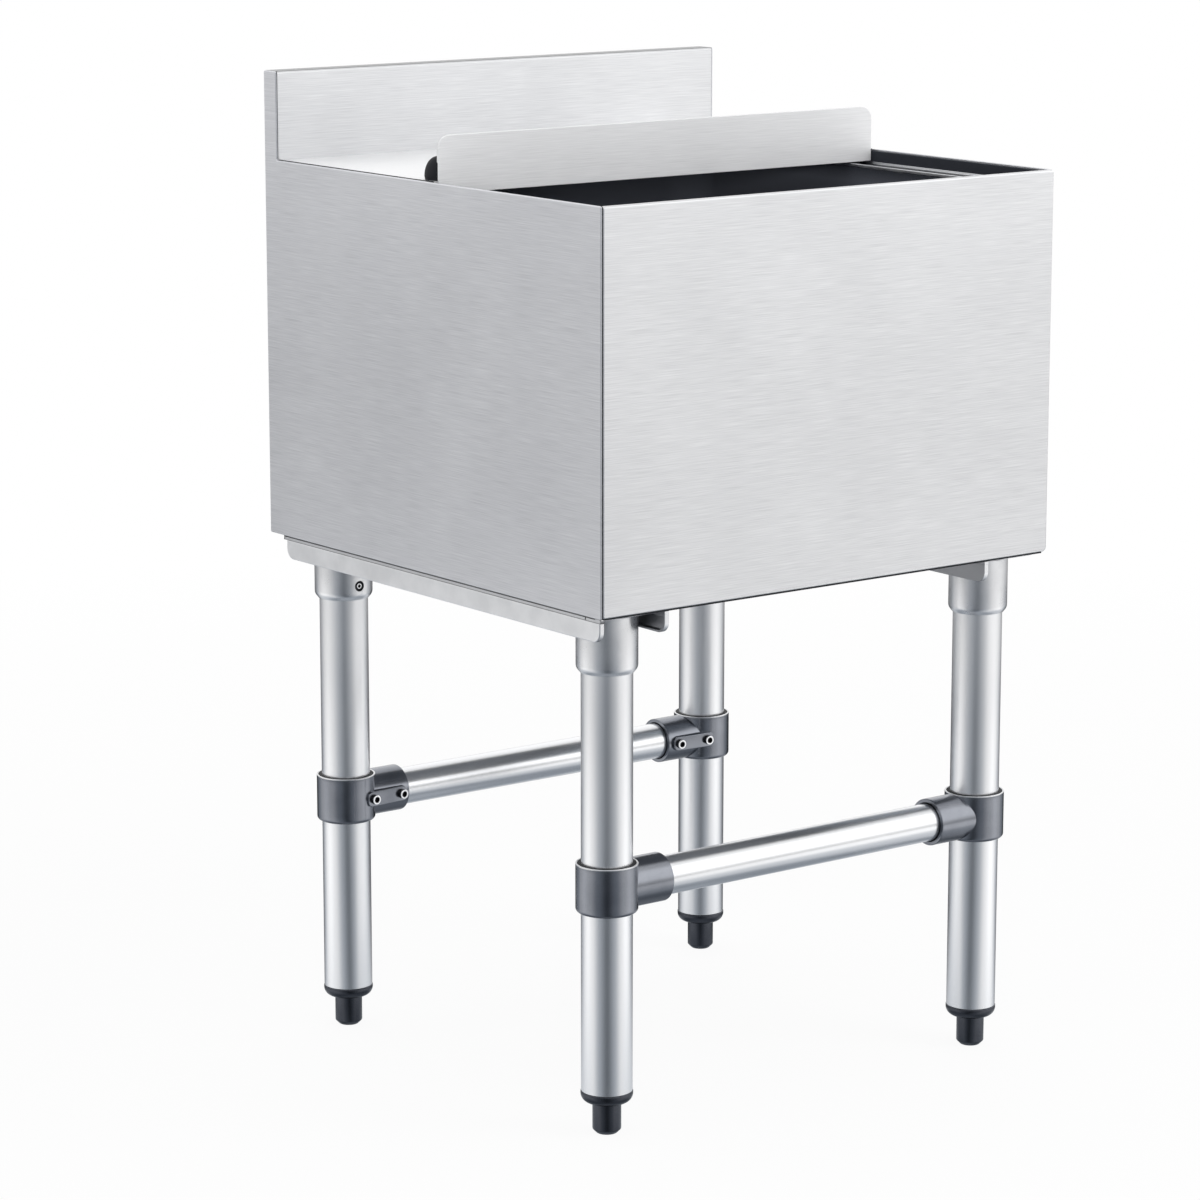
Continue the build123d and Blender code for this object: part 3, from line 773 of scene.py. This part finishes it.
def make_seam_shade():
    """Dark strips that paint shade into the seams of the casing: upright ones, one under the front, two
    along the deck.
    """
    seams = []
    for node, seam in (("front_panel", FRONT_SEAM), ("backsplash", SPLASH_SEAM)):
        low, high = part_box(node)
        upright = rectangle(low.x, low.y + SHADE_STRIP, low.x + seam + SHADE_STRIP, low.y + HEM)
        seams.append((upright, low.z, high.z - SHADE_STRIP))
    low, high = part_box("front_panel")
    edge = rectangle(low.x + HEM, low.y + SHADE_STRIP, high.x - FRONT_LOW_CORNER, low.y + HEM)
    seams.append((edge, low.z - 2 * SHADE_STRIP, low.z + SHADE_STRIP))
    low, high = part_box("rear_deck")
    for start in (low.x, high.x - DECK_SEAM - SHADE_STRIP):
        strip = rectangle(start, low.y, start + DECK_SEAM + SHADE_STRIP, splash_front)
        seams.append((strip, high.z - SHEET, high.z + DECK_SHADE_RISE))
    add_sheet("seam_painted_shade", [plate(*seam) for seam in seams], "rubber")


def make_pan_lines():
    """Thin dark strips above and below the pan's side edges, painted shade along the folds."""
    low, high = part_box("base_pan")
    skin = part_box("side_panel_left")[0].x + SHADE_STRIP
    left = rectangle(skin, low.y, skin + HEM, high.y)
    right = rectangle(-skin - HEM, low.y + PAN_SET_BACK, -skin, high.y)
    forms = []
    for level in (high.z, low.z + SHADE_LINE):
        for strip in (left, right):
            forms.append(plate(strip, level - SHADE_LINE, level + SHADE_LINE, TINY))
    add_sheet("pan_shade_lines", forms, "pan")


# Lid
HANDLE_CORNER = 0.011
HANDLE_HEM = 0.022
LID_SHEET = 0.0012
LID_FOOT = 0.0009
LID_CORNER = 0.003


def make_lid():
    """Sliding lid: flat sheet with a hemmed upright plate along its front."""
    low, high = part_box("sliding_lid")
    middle = low.y + LID_SHEET
    handle = rectangle(low.x, low.z, high.x, high.z, LID_FOOT, HANDLE_CORNER)
    hem = rectangle(low.x, high.z - HANDLE_HEM, high.x, high.z, LID_FOOT, HANDLE_CORNER)
    sheet = rectangle(low.x, middle - EDGE, high.x, high.y, 0.0, LID_CORNER)
    forms = [
        slab(handle, -middle, -low.y, FINE_EDGE, EDGE, FRONTWARDS),
        slab(hem, -middle - LID_SHEET, -middle, EDGE, FINE_EDGE, FRONTWARDS),
        plate(sheet, low.z, low.z + LID_SHEET),
    ]
    dress_sheet("lid_sheet", forms, "handle", "sliding_lid")


# Copies of CAD sheets and mouldings whose hard edges are rounded
COPY_EDGE = 0.0004
CHANNEL_BEND = 0.0012
CHANNEL_LIP = 0.0045
HOLE_EDGE = 0.0003
LINER_EDGE = 0.0009
WELD_DISTANCE = 2e-6
FLAT_ANGLE = math.radians(0.5)
HARD_ANGLE = math.radians(35)
TRACK_SHEET = 0.0012
TRACK_LIP = 0.0016


def round_edges(form, edges, width, segments):
    bmesh.ops.bevel(
        form, geom=edges, offset=width, segments=segments, profile=0.5, affect="EDGES", clamp_overlap=True)


def rounded_copy(node, width, bold=None, bold_width=0.0):
    """Copy of a node with its hard edges rounded, more so those that bold picks."""
    form = form_from(nodes[node].data)
    bmesh.ops.remove_doubles(form, verts=form.verts, dist=WELD_DISTANCE)
    bmesh.ops.dissolve_limit(form, angle_limit=FLAT_ANGLE, verts=form.verts, edges=form.edges)
    if bold:
        round_edges(form, [e for e in form.edges if bold(*(v.co for v in e.verts))], bold_width, segments=4)
    hard = [
        e for e in form.edges
        if len(e.link_faces) == 2 and e.calc_face_angle() > HARD_ANGLE and e.calc_length() > HOLE_EDGE
    ]
    round_edges(form, hard, width, segments=2)
    return mesh_from(node + "_mesh", form)


def on_channel_flank(first, second):
    """Edges of the channel's outer face, apart from its top edge."""
    low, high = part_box("leg_channel_right")
    return min(abs(first.x), abs(second.x)) > high.x - TINY and min(first.z, second.z) < high.z - TINY


def dress_copy(name, finish, node, width=COPY_EDGE):
    even_shading(dress(name, rounded_copy(node, width), finish, node))


def make_copies():
    """Back, channels, lid tracks, runners, liner and lock nut."""
    for side in ("left", "right"):
        channel = rounded_copy(f"leg_channel_{side}", COPY_EDGE, on_channel_flank, CHANNEL_BEND)
        even_shading(dress(f"leg_beam_{side}", channel, "channel", f"leg_channel_{side}"))
        dress_copy(f"lid_track_{side}", "satin", f"lid_rail_{side}")
    dress_copy("back_face", "face", "back_panel")
    dress_copy("lid_runners", "nylon", "lid_glides")
    dress_copy("ice_liner", "liner", "liner", LINER_EDGE)
    dress_copy("drain_nut", "chrome", "drain_locknut")


def make_track_inlays():
    """Dark sliding strips on the floors of the lid tracks."""
    low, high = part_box("lid_rail_right")
    floor = high.z - TRACK_LIP
    outline = rectangle(low.x + TRACK_SHEET, low.y + EDGE, high.x - TRACK_SHEET, high.y - EDGE)
    strip = plate(outline, floor - TINY, floor + TINY, TINY / 2)
    add_sheet("track_inlays", [mirrored(strip), strip], "foot")


def make_channel_tabs():
    """Tabs between the front ends of the channels' inner flanges and the casing's floor."""
    low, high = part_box("leg_channel_right")
    pan_low, pan_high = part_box("base_pan")
    outline = rectangle(low.x, low.y, low.x + CHANNEL_LIP, pan_low.y + PAN_SET_BACK, COPY_EDGE)
    tab = plate(outline, high.z - TINY, pan_high.z - SHEET, TINY)
    add_sheet("channel_tabs", [mirrored(tab), tab], "channel")


# Tubes, sockets and tee clamps
LIP_ROUND = 0.0006
LEG_WALL = 0.0015
SOCKET_GAP = 0.0002
SOCKET_TAPER = 0.003
SOCKET_TAPER_HEIGHT = 0.0036
SOCKET_TAPER_ROUND = 0.007
SET_SCREW_HOLE = 0.0046
SET_SCREW_DEPTH = 0.0011
SET_SCREW_LENGTH = 0.0018
SET_SCREW_KEY = 0.0014
SET_SCREW_RIM = 0.0024
SET_SCREW_ROUND = 0.0003
SET_SCREW_CUT = (0.5, 1.5)
TEE_GAP = 0.0005
TEE_LIP = 0.0015
TEE_MOUTH_DEPTH = 0.004
TEE_LIP_ROUND = 0.0007
TEE_LOW_ROUND = 0.0036
TEE_BORE_ROUND = 0.0004
TEE_CUT = 1.1
TEE_HIGHLIGHT_HEIGHT = 0.0009
TEE_HIGHLIGHT_PROUD = 0.00008
TEE_HIGHLIGHT_ROUND = 0.00035
TEE_BRANCH_WALL = 0.0039
TEE_BRANCH_LIP = 0.003
TEE_RAIL_GAP = 0.0003
TEE_STEPS = 12
TEE_PAD_HEIGHT = 0.013
TEE_PAD_CORNER = 0.0045
TEE_PAD_START = 0.006
TEE_PAD_END = 0.0485
TEE_PAD_PROUD = 0.0008
TEE_PAD_SLOPE = 0.0032
TEE_PAD_ROUND = 0.0007
# Rises of the dark sleeves that paint shade into the clamps' mouths
MOUTH_SHADE_RISE = 0.0002
RAIL_MOUTH_SHADE_RISE = -0.002


def middle_of(node):
    return [(low + high) / 2 for low, high in zip(*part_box(node))]


set_screw_height = middle_of("socket_set_screws")[2]


def tube_radius(node):
    low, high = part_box(node)
    return (high.z - low.z) / 2 if node.startswith("cross") else (high.x - low.x) / 2


def make_leg(corner):
    """Leg tube whose ends are rolled in a little."""
    node = f"leg_{corner}"
    low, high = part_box(node)
    radius = tube_radius(node)
    tube = turned(rectangle(radius - LEG_WALL, low.z, radius, high.z, LIP_ROUND))
    x, y, _ = middle_of(node)
    mesh = crisp(mesh_from(node + "_mesh", moved(tube, Matrix.Translation((x, y, 0.0)))))
    dress(f"leg_tube_{corner}", mesh, "leg", node)


def make_socket(corner):
    """Leg socket with a chamfered mouth and a set screw hole on its inner side."""
    node = f"socket_{corner}"
    low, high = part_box(node)
    x, y, _ = middle_of(node)
    radius = (high.x - low.x) / 2
    bore = tube_radius(f"leg_{corner}") + SOCKET_GAP
    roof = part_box(f"leg_{corner}")[1].z
    cup = turned([
        (bore, low.z, 0.0), (radius - SOCKET_TAPER, low.z, FINE_EDGE),
        (radius, low.z + SOCKET_TAPER_HEIGHT, SOCKET_TAPER_ROUND), (radius, high.z, LIP_ROUND),
        (0.0, high.z, 0.0), (0.0, roof, 0.0), (bore, roof, 0.0),
    ])
    inward = -math.copysign(1.0, y)
    start, end = y + inward * bore * SET_SCREW_CUT[0], y + inward * radius * SET_SCREW_CUT[1]
    hole = bar(SET_SCREW_HOLE, (x, start, set_screw_height), (x, end, set_screw_height))
    mesh = carved(node + "_mesh", moved(cup, Matrix.Translation((x, y, 0.0))), [("DIFFERENCE", hole)])
    dress(f"leg_cup_{corner}", mesh, "socket", node)


def in_each_socket(corners):
    """Turned forms that point out of the sockets' screw holes, heights from the legs' axes."""
    forms = []
    for corner in CORNERS:
        x, y, _ = middle_of(f"socket_{corner}")
        tilt = Matrix.Rotation(math.copysign(math.pi / 2, y), 4, "X")
        place = Matrix.Translation((x, y, set_screw_height))
        forms.append(moved(turned(corners, segments=48), place @ tilt))
    return forms


def make_set_screws():
    """Dark set screws sunk in the sockets, with a bright ring round their key hole that is a painted
    highlight.
    """
    low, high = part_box("socket_front_left")
    face = (high.x - low.x) / 2 - SET_SCREW_DEPTH
    back = face - SET_SCREW_LENGTH
    rim_face = face + SET_SCREW_DEPTH / 2
    body = [
        (0.0, back, 0.0), (SET_SCREW_HOLE, back, 0.0), (SET_SCREW_HOLE, face, 0.0),
        (SET_SCREW_KEY, face, 0.0), (SET_SCREW_KEY, back + FINE_EDGE, 0.0), (0.0, back + FINE_EDGE, 0.0),
    ]
    ring = [
        (SET_SCREW_KEY, face - FINE_EDGE, 0.0), (SET_SCREW_RIM, face - FINE_EDGE, 0.0),
        (SET_SCREW_RIM, rim_face, SET_SCREW_ROUND), (SET_SCREW_KEY, rim_face, FINE_EDGE),
    ]
    bodies = crisp(joined("set_screw_mesh", in_each_socket(body)))
    dress("set_screws", bodies, "rubber", "socket_set_screws")
    # Painted highlight: bright rings round the key holes.
    rims = crisp(joined("set_screw_rims_mesh", in_each_socket(ring)))
    add_piece("set_screw_rims", rims, "screw")


def tee_ring(bore, radius, half):
    """Ring round the leg: rounded below, with a thin lip and a wider mouth above."""
    mouth = radius - TEE_LIP
    start = TEE_LOW_ROUND - half
    rise = half - TEE_LIP_ROUND - start
    wall = [(radius, start + rise * step / TEE_STEPS, 0.0) for step in range(1, TEE_STEPS)]
    return turned([
        (bore, -half, TEE_BORE_ROUND), (radius, -half, TEE_LOW_ROUND), *wall, (radius, half, TEE_LIP_ROUND),
        (mouth, half, TEE_LIP_ROUND - FINE_EDGE), (mouth, half - TEE_MOUTH_DEPTH, 0.0),
        (bore, half - TEE_MOUTH_DEPTH, 0.0),
    ])


def tee_branch(bore, radius, reach, root):
    """Branch round the cross rail, along X, with its inner end bent to the ring's curve."""
    mouth = radius - TEE_BRANCH_LIP
    wall = [(radius, root + (reach - root) * step / TEE_STEPS, 0.0) for step in range(1, TEE_STEPS)]
    form = turned([
        (bore, 0.0, 0.0), (radius, 0.0, 0.0), *wall, (radius, reach, EDGE), (mouth, reach, FINE_EDGE),
        (mouth, reach - TEE_MOUTH_DEPTH, 0.0), (bore, reach - TEE_MOUTH_DEPTH, 0.0),
    ])
    for vert in moved(form, Z_TO_X).verts:
        if abs(vert.co.x) < TINY:
            vert.co.x = math.sqrt(root ** 2 - vert.co.y ** 2)
    return form


def tee_lip_highlight(radius, half):
    """Bright steel ring on the clamp's upper lip, a painted highlight."""
    outer = radius + TEE_HIGHLIGHT_PROUD
    inner = radius - TEE_LIP + TEE_HIGHLIGHT_PROUD
    top = half + TEE_HIGHLIGHT_PROUD
    return turned([
        (inner, half - TEE_HIGHLIGHT_HEIGHT, 0.0), (outer, half - TEE_HIGHLIGHT_HEIGHT, FINE_EDGE),
        (outer, top, TEE_HIGHLIGHT_ROUND), (inner, top, TEE_HIGHLIGHT_ROUND),
    ])


def pad_face(ring_radius, place):
    """Distance of the sloped pad's face from the leg's axis, at a place along the branch."""
    share = (place - TEE_PAD_START) / (TEE_PAD_END - TEE_PAD_START)
    return ring_radius + TEE_PAD_PROUD - TEE_PAD_SLOPE * share


def tee_pad(ring_radius, root):
    """Slot-shaped screw pad towards +Y, rounded outside, that slopes down along the branch."""
    half = TEE_PAD_HEIGHT / 2
    face = ring_radius + TEE_PAD_PROUD
    outline = rectangle(TEE_PAD_START, -half, TEE_PAD_END, half, TEE_PAD_CORNER)
    form = slab(outline, -face, -root, TEE_PAD_ROUND, FINE_EDGE, FRONTWARDS)
    for vert in form.verts:
        if vert.co.y > (face + root) / 2:
            vert.co.y += pad_face(ring_radius, vert.co.x) - face
    return form


def at_tee(form, corner):
    """Take part of a tee made at the origin to its leg, with the branch along the rail."""
    x, y, _ = middle_of(f"leg_{corner}")
    turn = Matrix.Diagonal((-math.copysign(1.0, x), -math.copysign(1.0, y), 1.0, 1.0))
    place = Matrix.Translation((x, y, middle_of(f"tee_{corner}")[2]))
    return outward(moved(form, place @ turn))


def tee_sizes(corner):
    """Leg radius, rail radius, ring radius, half height and reach of a tee clamp."""
    low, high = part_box(f"tee_{corner}")
    x = middle_of(f"leg_{corner}")[0]
    reach = max(high.x - x, x - low.x)
    rail = "cross_rail_" + corner.split("_")[0]
    return tube_radius(f"leg_{corner}"), tube_radius(rail), (high.y - low.y) / 2, (high.z - low.z) / 2, reach


def mouth_shade_sleeve(inner, outer, mouth_end, rise):
    """Dark sleeve in the mouth of a clamp, round its tube, that paints the shade of the gap."""
    return turned(rectangle(inner + FINE_EDGE, mouth_end - TEE_MOUTH_DEPTH, outer - TINY, mouth_end + rise))


def make_tee(corner):
    """Tee clamp: ring, branch and pad joined into one casting, with dark sleeves in its mouths as painted
    shade.
    """
    node = f"tee_{corner}"
    leg, rail, ring_radius, half, reach = tee_sizes(corner)
    bore = leg + TEE_GAP
    rail_bore = rail + TEE_RAIL_GAP
    branch_radius = rail + TEE_BRANCH_WALL
    ring = at_tee(tee_ring(bore, ring_radius, half), corner)
    branch = at_tee(tee_branch(rail_bore, branch_radius, reach, ring_radius - TEE_LIP / 2), corner)
    pad = at_tee(tee_pad(ring_radius, rail + TEE_BRANCH_WALL / 2), corner)
    room = at_tee(bar(bore, (0, 0, -half * TEE_CUT), (0, 0, half * TEE_CUT), segments=128), corner)
    mesh = carved(node + "_mesh", ring, [("UNION", branch), ("UNION", pad), ("DIFFERENCE", room)])
    dress(f"tee_clamp_{corner}", mesh, "tee", node)
    # Dark sleeves painting the shade in the gaps round the leg and the rail.
    sleeve = mouth_shade_sleeve(leg, ring_radius - TEE_LIP - FINE_EDGE, half, MOUTH_SHADE_RISE)
    rail_sleeve = mouth_shade_sleeve(rail, branch_radius - TEE_BRANCH_LIP, reach, RAIL_MOUTH_SHADE_RISE)
    mouth_shade_sleeves = joined(node + "_bushes", [at_tee(sleeve, corner), at_tee(moved(rail_sleeve, Z_TO_X), corner)])
    add_piece(f"tee_bushes_{corner}", crisp(mouth_shade_sleeves), "rubber")
    # Painted highlight: bright steel ring on the upper lip.
    lip_highlight = mesh_from(node + "_bead", at_tee(tee_lip_highlight(ring_radius, half), corner))
    add_piece(f"tee_lip_highlight_{corner}", lip_highlight, "lip")


# Screws of the tee clamps
HEAD_RADIUS = 0.0041
HEAD_HEIGHT = 0.0034
SCREW_RING_WIDTH = 0.0015
SCREW_KEY_RADIUS = 0.0025
SCREW_KEY_DEPTH = 0.0026
SCREW_SHANK_LENGTH = 0.003
SCREW_SHANK_SHARE = 0.6
HEAD_ROUND = 0.0003
SCREW_RING_ROUND = 0.0004
SCREW_PLACES = (0.0125, 0.0425)


def screw_body():
    """Dark cap screw along +Z with its head's underside at the origin and a hexagon hole."""
    shank = HEAD_RADIUS * SCREW_SHANK_SHARE
    head = turned([
        (0.0, -SCREW_SHANK_LENGTH, 0.0), (shank, -SCREW_SHANK_LENGTH, 0.0), (shank, 0.0, 0.0),
        (HEAD_RADIUS, 0.0, 0.0), (HEAD_RADIUS, HEAD_HEIGHT, HEAD_ROUND),
        (0.0, HEAD_HEIGHT, 0.0),
    ], segments=48)
    key_end = HEAD_HEIGHT - SCREW_KEY_DEPTH
    key = bar(SCREW_KEY_RADIUS, (0, 0, key_end), (0, 0, HEAD_HEIGHT * 2), segments=6)
    return carved("screw", head, [("DIFFERENCE", key)])


def screw_highlight_ring():
    """Bright ring on the face of a cap screw, a painted highlight."""
    inner = HEAD_RADIUS - SCREW_RING_WIDTH
    top = HEAD_HEIGHT + FINE_EDGE
    ring = turned([
        (inner, top - 2 * FINE_EDGE, 0.0), (HEAD_RADIUS, top - 4 * FINE_EDGE, 0.0),
        (HEAD_RADIUS, top, SCREW_RING_ROUND), (inner, top, FINE_EDGE),
    ], segments=48)
    return mesh_from("ring", ring)


def on_each_pad(mesh):
    """Copies of a mesh at the two screw places of all four tee clamps."""
    forms = []
    slope = math.atan2(TEE_PAD_SLOPE, TEE_PAD_END - TEE_PAD_START)
    tilt = Matrix.Rotation(-slope, 4, "Z") @ Matrix.Rotation(-math.pi / 2, 4, "X")
    for corner in CORNERS:
        ring_radius = tee_sizes(corner)[2]
        for place in SCREW_PLACES:
            spot = Matrix.Translation((place, pad_face(ring_radius, place), 0.0))
            forms.append(at_tee(moved(moved(form_from(mesh), tilt), spot), corner))
    return forms


def make_tee_screws():
    """Cap screws on the pads, in dark steel that paints their shaded sides, with painted highlight rings on
    their faces.
    """
    # Painted shade on the dark screw bodies, painted highlight on their bright rings.
    bodies = crisp(joined("screw_bodies", on_each_pad(screw_body())))
    dress("clamp_screws", bodies, "screw_shade", "tee_screws")
    rings = crisp(joined("screw_highlight_rings", on_each_pad(screw_highlight_ring())))
    add_piece("clamp_screw_rims", rings, "screw")


# Rubber buffers, foot inserts and feet
BUFFER_BULGE = 0.0006
BUFFER_BELLY = 0.15
BUFFER_FULLNESS = 0.8
FOOT_EDGE = 0.0006
DOME_STEPS = 24


def make_buffers():
    """Domed rubber buttons that swell a little above the deck."""
    low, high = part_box("deck_buffers")
    radius = (high.y - low.y) / 2
    height = high.z - rim
    belly = height * BUFFER_BELLY
    corners = [(0.0, 0.0, 0.0), (radius - BUFFER_BULGE, 0.0, 0.0)]
    for step in range(DOME_STEPS):
        angle = math.pi / 2 * step / DOME_STEPS
        across = radius * math.cos(angle) ** BUFFER_FULLNESS
        corners.append((across, belly + (height - belly) * math.sin(angle), 0.0))
    corners.append((0.0, height, 0.0))
    middle = (low.y + high.y) / 2
    buttons = []
    for x in (radius - high.x, high.x - radius):
        buttons.append(moved(turned(corners, segments=64), Matrix.Translation((x, middle, rim))))
    dress("handle_buffers", crisp(joined("buffers_mesh", buttons), degrees=60), "rubber", "deck_buffers")


def make_feet(corner):
    """Collar under the leg tube and the stem that screws into it."""
    for name, node in (("foot_collar", "foot_insert"), ("foot_stem", "foot")):
        mesh = crisp(rounded_copy(f"{node}_{corner}", FOOT_EDGE), degrees=40)
        dress(f"{name}_{corner}", mesh, "foot", f"{node}_{corner}")


def studio_sheet(name, left, front, right, back, height, look):
    """Level rectangle of the studio."""
    mesh = bpy.data.meshes.new(name)
    corners = [(x, y, height) for x, y in ((left, front), (right, front), (right, back), (left, back))]
    mesh.from_pydata(corners, [], [(0, 1, 2, 3)])
    mesh.materials.append(look.material)
    return new_object(name, mesh)


def make_floor():
    """White floor that keeps a soft shadow near the object and fades to plain white."""
    look = Look("floor_white")
    look.surface(Base_Color=(FLOOR_TONE,) * 3, Roughness=0.9, Specular_IOR_Level=0.0)
    share = look.remap(look.distance(), FLOOR_GLOW_NEAR, 1.0, *FLOOR_FADE)
    share = look.math("MULTIPLY", share, look.seen_or_mirrored())
    diffuse = look.tree.nodes["Principled BSDF"].outputs["BSDF"]
    white = look.add("Emission").outputs["Emission"]
    look.show(look.add("MixShader", {"Fac": share, 1: diffuse, 2: white}).outputs["Shader"])
    half = FLOOR_SIZE / 2
    floor = studio_sheet("floor", -half, -half, half, half, 0.0, look)
    floor.visible_glossy = False


def make_world():
    """White to the eye and in reflections, a softer level as light."""
    world = bpy.data.worlds.new("studio")
    bpy.context.scene.world = world
    graph = Graph(world)
    background = graph.tree.nodes["Background"]
    graph.set(background.inputs["Color"], (1.0, 1.0, 1.0))
    graph.set(background.inputs["Strength"], graph.remap(graph.seen_or_mirrored(), WORLD_LIGHT, 1.0))


def cool_grey(level):
    """Grey of a level, bluer the darker it is."""
    depth = max(0.0, 1.0 - level)
    return level * (1 - COOL_RED * depth), level, level * (1 + COOL_BLUE * depth)


def level_ramp(look, value, levels, start, end):
    """Grey that follows levels given at values between start and end."""
    ramp = look.add("ValToRGB", {"Fac": look.remap(value, 0.0, 1.0, start, end)})
    ramp.color_ramp.interpolation = "EASE"
    stops = ramp.color_ramp.elements
    while len(stops) < len(levels):
        stops.new(1.0)
    for stop, (place, level) in zip(stops, levels):
        stop.position = (place - start) / (end - start)
        stop.color = (*cool_grey(level), 1.0)
    return ramp.outputs["Color"]


def towards_viewer(look):
    """Distance of a point from the middle towards the viewer's side."""
    turn = math.radians(CAMERA_AZIMUTH)
    return look.along((-math.sin(turn), -math.cos(turn), 0.0))


def round_levels(look, levels):
    """Grey that follows levels given at angles from the viewer's side."""
    turn = math.radians(CAMERA_AZIMUTH)
    rightwards = look.along((math.cos(turn), -math.sin(turn), 0.0))
    degrees = look.math("DEGREES", look.math("ARCTAN2", rightwards, towards_viewer(look)))
    return level_ramp(look, degrees, levels, -180, 180)


def show_mirrored(piece):
    """Make a piece part of the studio, seen only in reflections."""
    for ray in ("camera", "diffuse", "shadow", "transmission"):
        setattr(piece, "visible_" + ray, False)


def make_card():
    """Dark card to the right of the pan, which the rails mirror where they look past it."""
    low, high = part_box("base_pan")
    left = cad_high.x + CARD_GAP
    look = Look("card_grey")
    look.show(look.add("Emission", {"Color": cool_grey(CARD_LEVEL)}).outputs["Emission"])
    show_mirrored(studio_sheet("card", left, low.y, left + CARD_WIDTH, high.y, low.z, look))


def make_tent(look, profile, grey, strength=1.0):
    """Surface turned from a profile that glows in a grey and shows only in reflections."""
    name = look.material.name
    form = bmesh.new()
    points = [form.verts.new((radius, 0.0, height)) for radius, height in profile]
    edge = form.edges.new(points)
    bmesh.ops.spin(
        form, geom=points + [edge], cent=(0, 0, 0), axis=(0, 0, 1), angle=math.tau, steps=96, use_merge=True)
    mesh = mesh_from(name, form)
    look.show(look.add("Emission", {"Color": grey, "Strength": strength}).outputs["Emission"])
    mesh.materials.append(look.material)
    tent = new_object(name, mesh)
    tent.location.z = TENT_BOTTOM
    show_mirrored(tent)


def make_tent_floor():
    """Floor of the tent: levels by distance near the object, by angle further out and in front."""
    look = Look("tent_floor")
    near = level_ramp(look, look.distance(), TENT_NEAR_LEVELS, 0.0, TENT_NEAR_REACH)
    far = round_levels(look, TENT_FLOOR_LEVELS)
    outside = look.remap(look.distance(), 0.0, 1.0, *TENT_NEAR_BLEND)
    in_front = look.remap(towards_viewer(look), 0.0, 1.0, *TENT_VIEWER_BLEND)
    grey = look.blend(look.math("MAXIMUM", outside, in_front), near, far)
    make_tent(look, [(0.0, 0.0), (TENT_RADIUS, 0.0)], grey)


def make_tent_walls():
    """Low wall that darkens towards the floor, and high wall that is light all round."""
    middle = TENT_MIDDLE - TENT_BOTTOM
    low_look = Look("tent_wall")
    start, end = (height - TENT_BOTTOM for height in TENT_WALL_FADE)
    fade = low_look.remap(low_look.along(HEIGHT), TENT_WALL_LOWEST, 1.0, start, end)
    grey = round_levels(low_look, TENT_WALL_LEVELS)
    make_tent(low_look, [(TENT_RADIUS, 0.0), (TENT_RADIUS, middle)], grey, fade)
    high_look = Look("tent_high")
    grey = round_levels(high_look, TENT_HIGH_LEVELS)
    make_tent(high_look, [(TENT_RADIUS, middle), (TENT_RADIUS, TENT_TOP - TENT_BOTTOM)], grey)


def make_lamp(name, place, aim, size, power):
    """Soft square lamp pointed at a place, left out of reflections."""
    lamp = bpy.data.lights.new(name, "AREA")
    lamp.size = size
    lamp.energy = power
    holder = new_object(name, lamp)
    holder.location = place
    holder.rotation_euler = (Vector(aim) - Vector(place)).to_track_quat("-Z", "Y").to_euler()
    holder.visible_camera = False
    holder.visible_glossy = False


def make_camera():
    """Camera at the photograph's viewing angle."""
    data = bpy.data.cameras.new("camera")
    data.lens = CAMERA_LENS
    data.sensor_width = CAMERA_SENSOR
    camera = new_object("camera", data)
    camera.location = CAMERA_PLACE
    camera.rotation_euler = (math.radians(90 - CAMERA_PITCH), 0.0, -math.radians(CAMERA_AZIMUTH))
    bpy.context.scene.camera = camera


make_front()
make_sides()
make_splash()
make_deck()
make_lid()
make_pan()
make_seam_shade()
make_pan_lines()
make_copies()
make_track_inlays()
make_channel_tabs()
make_buffers()
make_set_screws()
make_tee_screws()
for corner_name in CORNERS:
    make_leg(corner_name)
    make_socket(corner_name)
    make_tee(corner_name)
    make_feet(corner_name)

make_floor()
make_world()
make_tent_floor()
make_tent_walls()
make_card()
for lamp_values in LAMPS:
    make_lamp(*lamp_values)
make_camera()

bpy.context.scene.view_settings.view_transform = "Standard"
